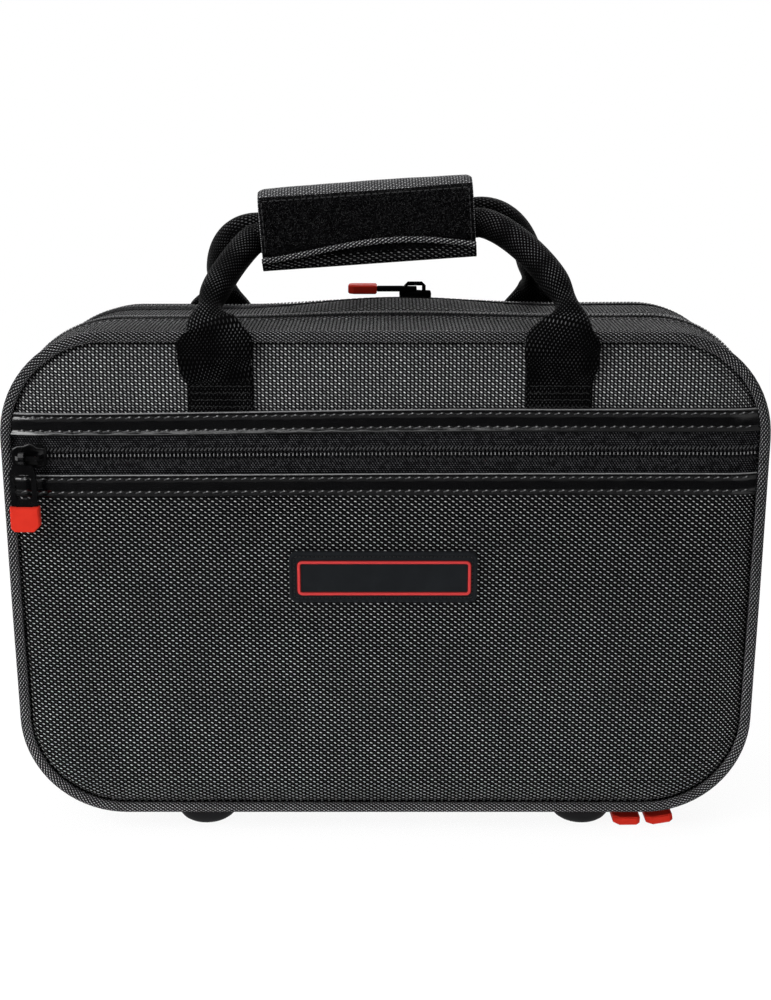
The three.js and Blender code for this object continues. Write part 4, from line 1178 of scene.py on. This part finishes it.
def build_sleeve():
    centre = np.array([1.25, 0])
    outer = opened(rounded_loop(33.5, 35.0, 9.0, 10) + centre, slit=-6.5)
    inner = opened(rounded_loop(28.4, 24.0, 6.0, 10), slit=-6.5)
    section = np.vstack([outer, inner[::-1]])
    n = len(outer)
    ends = np.array([48.3, 49.1, 49.7, 50])
    spots = np.concatenate([-ends[::-1], np.linspace(-46, 46, 40), ends])
    sections = []
    for x in spots:
        tuck = max(0, abs(x) - 48.3) / 1.7
        soft = 0.35 * math.sin(x / 7.3) + 0.25 * math.sin(x / 3.1 + 1)
        scale = 1 - 0.05 * tuck**2 + 0.008 * soft * (1 - tuck)
        moved = section.copy()
        moved[:n] = centre + (outer - centre) * scale
        moved[:n, 1] += 0.5 * (1 - (x / 50) ** 2) * (outer[:, 1] > 8)
        sections.append(moved)
    sleeve = extruded("wrap_sleeve_cloth", sections, spots)
    put(sleeve, "rear_handle", NYLON_WRAP, "nylon", "wrap_sleeve")


def turned_back(z):
    """How far the wrap's front has turned back at a height, near its round corners."""
    return np.maximum(0, np.abs(z) - 8.5) ** 2 / 16


def build_pile(rng):
    """The fuzzy panel on the wrap's front, with a ragged face."""
    half, low, high = 49.6, -12.6, 14.2
    spots = np.linspace(-half, half, 150)
    heights = np.linspace(low, high, 40)
    base = -15.75 + turned_back(heights)
    from_rim = smooth(np.minimum(heights - low, high - heights), -0.2, 1.8)
    face, back = [], []
    for x in spots:
        rise = 1.15 * np.minimum(smooth(half - abs(x), -0.2, 1.6), from_rim)
        ragged = rng.normal(0, 0.16, len(heights))
        rise = rise + ragged * (rise > 0.3)
        face.append(row_at(x, base - rise, heights))
        back.append(row_at(x, base + 0.1, heights))
    verts = np.concatenate(face + back)
    pile = make("wrap_pile", wrap_point(verts), slab(len(spots), len(heights)), verts[:, [0, 2]])
    put(pile, "rear_handle", PILE, "fuzzy", "wrap_loop_panel")


def build_loose_loops(rng, count=2600):
    """Short fibres that stand out of the fuzzy panel."""
    x = rng.uniform(-49.4, 49.4, count)
    z = rng.uniform(-12, 14.0, count)
    root = np.stack([x, -16.85 + turned_back(z), z], 1)
    aside = rng.normal(0, 0.45, count)
    out = rng.uniform(0.05, 0.55, count)
    up = rng.normal(0.1, 0.45, count)
    tip = root + np.stack([aside, -out, up], 1)
    loops = capsules("wrap_loops", wrap_point(root), wrap_point(tip), 0.09, sides=3)
    put(loops, "rear_handle", LOOPS, "fuzzy")


def build_wrap_stitches():
    top_left, top_right = (-48, 12.4), (48, 12.4)
    seams = {"top": (top_left, top_right), "right": (top_right, (48, -11)), "left": (top_left, (-48, -11))}
    share = np.linspace(0, 1, 60)
    for label, ((x0, z0), (x1, z1)) in seams.items():
        z = z0 + (z1 - z0) * share
        line = wrap_point(np.column_stack([x0 + (x1 - x0) * share, -17.05 + turned_back(z), z]))
        put(stitches(f"wrap_{label}_stitches", line, 3.0, 2.2, 0.28), "rear_handle", DARK_THREAD, "fuzzy")


def flap_section(x):
    """The flap's outline: from under the wrap up its front to the lead edge, and back inside."""
    share = (x + 50) / 100
    top = -14.1 + 5.3 * math.sin(PI * share**1.3) + 1.0 * share
    hollow = 3.2 * math.sin(PI * (x + 50) / 100) ** 0.7
    outer = [(-10.2, -19.3), (-11.5, -19.45), (-14.5, -19.4), (-17.2, -19.1), (-18.6, -18.2)]
    for t in np.linspace(0, 1, 12):
        y = -19.2 - 0.9 * t + hollow * math.sin(PI * t) ** 0.9
        outer.append((y, -16.8 + (top - 0.9 + 16.8) * t))
    lead_y = outer[-1][0]
    lead = [(lead_y - 0.25, top - 0.4), (lead_y - 0.1, top + 0.3), (lead_y + 0.5, top + 0.55)]
    lead += [(lead_y + 1.0, top + 0.2), (lead_y + 1.2, top - 0.7)]
    inner = []
    for y, z in outer[::-1]:
        inward = FLAP_THICKNESS * (0.15 if y > -18 and z < -18 else 1)
        upward = FLAP_THICKNESS * (1 if z < -17.5 else 0)
        inner.append((y + inward, z + upward))
    ring = np.array(outer + lead + inner)
    run = lengths(ring)
    even = np.linspace(0, run[-1], 44)
    return np.stack([np.interp(even, run, ring[:, k]) for k in (0, 1)], 1)


def build_flap():
    """The flap, the bound hem on its lead edge and the strip of hooks inside it."""
    spots = np.linspace(-49.8, 49.8, 70)
    sections = [flap_section(x) for x in spots]
    put(extruded("wrap_flap_cloth", sections, spots), "wrap_flap", NYLON_SHADED, "nylon", "wrap_flap")
    binding = rounded_loop(1.9, 2.6, 0.9, 3)
    hems = [binding + section[np.argmax(section[:, 1])] + [-0.25, -0.9] for section in sections]
    put(extruded("wrap_flap_hem", hems, spots), "wrap_flap", NYLON_HEM, "nylon")
    hooks = rounded_loop(0.8, 5.0, 0.3, 3) + [-17.9, -11.0]
    strip = extruded("wrap_hooks", [hooks] * 2, [-46, 46])
    put(strip, "wrap_flap", PILE, "fuzzy", "wrap_hook_strip")


def build_wrap():
    rng = np.random.default_rng(7)
    build_sleeve()
    build_pile(rng)
    build_loose_loops(rng)
    build_wrap_stitches()
    build_flap()


# Lining and hardware


def soften(name, node, body, material, slot, voxel, rounds):
    """A foam piece: the CAD solid's copy, remeshed and relaxed so that its edges round off."""
    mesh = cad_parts[node].data.copy()
    mesh.name = name
    mesh.materials.clear()
    obj = bpy.data.objects.new(name, mesh)
    scene.collection.objects.link(obj)
    remesh = obj.modifiers.new("remesh", "REMESH")
    remesh.mode = "VOXEL"
    remesh.voxel_size = voxel * MM
    relax = obj.modifiers.new("relax", "SMOOTH")
    relax.factor = 0.6
    relax.iterations = rounds
    done = bpy.data.meshes.new_from_object(obj.evaluated_get(bpy.context.evaluated_depsgraph_get()))
    obj.modifiers.clear()
    obj.data = done
    done.name = name
    done.polygons.foreach_set("use_smooth", [True] * len(done.polygons))
    put(obj, body, material, slot, node)


def build_lining():
    soften("tray_lining", "instrument_tray", "base", FOAM, "foam", 2.4, 3)
    soften("lid_lining", "lid_foam_shell", "lid", FOAM, "foam", 2.4, 3)
    soften("lid_pad", "lid_plush_pad", "lid", PLUSH, "plush", 2.2, 4)


def slider_cover(slider, place, ahead, outward, body, skirt=0.3, finish=METAL):
    """The cast body's outline: a round head, flared shoulders and a narrower tail."""
    half = [(-8.0, 0.0), (-7.9, 2.4), (-7.0, 4.1), (-5.2, 5.0), (-2.2, 5.2), (-0.4, 5.9), (0.8, 6.2)]
    half += [(2.2, 5.7), (4.2, 4.4), (6.4, 4.1), (7.9, 4.0), (8.2, 3.6), (8.2, 0.0)]
    loop = np.array(half + [(x, -w) for x, w in half[-2:0:-1]])
    ahead, outward = np.array(ahead), np.array(outward)
    aside = np.cross(outward, ahead)
    edge = [(0.5, skirt), (0.1, skirt + 0.2), (0.0, 0.9), (0.0, 1.7)]
    edge += [(0.15, 2.15), (0.55, 2.4), (1.3, 2.45), (1.6, 2.3)]
    layers = []
    for inset, height in edge:
        shrunk = loop * (1 - inset / np.linalg.norm(loop, axis=1, keepdims=True))
        layers.append(np.array(place) + shrunk[:, :1] * ahead + shrunk[:, 1:] * aside + height * outward)
    put(stack(f"{slider}_cover", layers), body, finish, "metal")


def build_slider_covers():
    right = (1, 0, 0)
    low, high = box_mm("pocket_slider")
    middle = (low + high) / 2
    slider_cover("pocket_slider", (middle[0], high[1], POCKET_ZIP_Z), right, (0, -1, 0), "pocket_slider")
    low, high = box_mm("top_slider")
    middle = (low + high) / 2
    slider_cover("top_slider", (*middle[:2], low[2]), right, (0, 0, 1), "top_slider", -0.7, DULL_METAL)
    low, high = box_mm("main_left_slider")
    middle = (low + high) / 2
    slider_cover("main_left_slider", (middle[0], ZIP_Y, high[2]), right, (0, 0, -1), "lid")
    turn = math.radians(9)
    arc = RADIUS + 2.9
    outward = (math.sin(turn), 0, -math.cos(turn))
    place = (CORNER_X + arc * outward[0], ZIP_Y, LOW + RADIUS + arc * outward[2])
    ahead = (math.cos(turn), 0, math.sin(turn))
    slider_cover("main_right_slider", place, ahead, outward, "main_right_slider")


def dress_hardware():
    """Finishes and bevelled edges for the sliders, pulls and caps, which stay as the frame has them."""
    for name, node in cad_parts.items():
        if name.endswith("_cap"):
            finish, width = RED, 0.4
        elif name.endswith(("_slider", "_pull")):
            finish, width = DULL_METAL if name.startswith("top") else METAL, 0.35
        else:
            continue
        node.data.materials.clear()
        node.data.materials.append(finish)
        bevel = node.modifiers.new("edges", "BEVEL")
        bevel.width = width * MM
        bevel.segments = 2
        bevel.limit_method = "ANGLE"
        bevel.angle_limit = math.radians(35)
        bevel.harden_normals = True


# Stage, light and camera


def floor_finish():
    """A white floor that mirrors as white behind the case and as dark before it.

    The camera sees it partly lit by itself, and sees through it where the open lid reaches below it.
    """
    white = (0.88, 0.88, 0.88)
    f = Finish("floor", white, 0.9, 0.0)
    spot = f.node("SeparateXYZ", Vector=f.place())
    x, y = spot.outputs["X"], spot.outputs["Y"]
    away = f.math("SQRT", f.plus(f.times(x, x), f.times(y, y)))
    path = f.node("LightPath")
    glow = f.node("Emission", Strength=1.5)
    lit = f.node("MixShader")
    behind = f.ramp(y, -0.25, 0.15)
    mirrored = f.times(path.outputs["Is Glossy Ray"], behind)
    f.feed(lit.inputs[0], f.larger(mirrored, f.times(path.outputs["Is Camera Ray"], 0.5)))
    dim = f.times(path.outputs["Is Glossy Ray"], f.minus(1.0, behind))
    f.color(dim, white, (0.05, 0.05, 0.05))
    f.feed(lit.inputs[1], f.shader.outputs[0])
    f.feed(lit.inputs[2], glow.outputs[0])
    clear = f.minus(1.0, f.times(f.ramp(away, 1.0, 0.4), 0.3))
    seen = f.larger(path.outputs["Is Camera Ray"], path.outputs["Is Transmission Ray"])
    surface = f.node("MixShader")
    f.feed(surface.inputs[0], f.times(seen, clear))
    f.feed(surface.inputs[1], lit.outputs[0])
    f.feed(surface.inputs[2], f.node("BsdfTransparent").outputs[0])
    f.feed(f.tree.nodes["Material Output"].inputs["Surface"], surface.outputs[0])
    return f.material


def build_floor():
    corners = [(x, y, -0.0005) for x, y in ((-4, -4), (4, -4), (4, 4), (-4, 4))]
    mesh = bpy.data.meshes.new("floor")
    mesh.from_pydata(corners, [], [(0, 1, 2, 3)])
    mesh.materials.append(floor_finish())
    floor = bpy.data.objects.new("floor", mesh)
    scene.collection.objects.link(floor)


def build_world():
    """A white studio for the camera; it lights little, and mirrors as dark before the case."""
    world = bpy.data.worlds.new("studio")
    scene.world = world
    world.use_nodes = True
    w = Nodes(world.node_tree)
    path = w.node("LightPath")
    direction = w.node("TexCoord").outputs["Generated"]
    behind = w.ramp(w.part(direction, "Y"), -0.3, 0.5, 0.08, 1.0, kind="LINEAR")
    strength = w.times(path.outputs["Is Glossy Ray"], behind)
    for ray in ("Is Camera Ray", "Is Transmission Ray"):
        strength = w.larger(strength, path.outputs[ray])
    background = w.tree.nodes["Background"]
    background.inputs["Color"].default_value = (1, 1, 1, 1)
    w.feed(background.inputs["Strength"], w.larger(strength, 0.22))


def area(name, place, target, size, power, mirrored=True):
    data = bpy.data.lights.new(name, "AREA")
    data.shape = "RECTANGLE"
    data.size, data.size_y = size
    data.energy = power
    light = bpy.data.objects.new(name, data)
    light.location = place
    light.rotation_euler = (Vector(target) - Vector(place)).to_track_quat("-Z", "Y").to_euler()
    light.visible_glossy = mirrored
    scene.collection.objects.link(light)


def build_lights():
    middle = (0, 0, 0.14)
    area("key", (-1.0, -0.8, 0.8), middle, (0.7, 0.7), 10.5)
    area("strip", (-0.45, -1.0, 1.25), middle, (1.3, 0.35), 3.5)
    area("top", (0.0, 0.0, 1.6), middle, (1.4, 0.6), 6.5)
    area("fill", (1.2, -1.4, 0.5), middle, (0.8, 0.8), 0.6)
    area("low", (-0.1, -0.2, 0.012), (-0.1, -0.05, 0.03), (0.6, 0.02), 0.3, mirrored=False)
    area("back", (0.3, 1.5, 1.0), middle, (1.2, 0.8), 8)


def build_camera():
    data = bpy.data.cameras.new("camera")
    data.lens = 50.4
    data.sensor_width = 36.0
    data.sensor_fit = "AUTO"
    data.clip_start, data.clip_end = 0.01, 50
    camera = bpy.data.objects.new("camera", data)
    camera.location = (0, -0.676, 0.330)
    camera.rotation_euler = (math.radians(75.55), 0, 0)
    scene.collection.objects.link(camera)
    scene.camera = camera


build_panels()
build_pocket_walls()
build_gussets()
build_main_zip()
build_top_zip()
build_hinge()
build_trim("upper_trim_leather", POCKET_ZIP_Z + TRIM_AWAY, UPPER_TRIM_BOW, 1.0, "upper_trim_strip")
build_trim("lower_trim_leather", POCKET_ZIP_Z - TRIM_AWAY, LOWER_TRIM_BOW, 0.35, "lower_trim_strip")
build_pocket_zip()
build_badge()
build_feet()
build_handles()
build_wrap()
build_lining()
build_slider_covers()
dress_hardware()
build_floor()
build_world()
build_lights()
build_camera()
scene.view_settings.view_transform = "Standard"
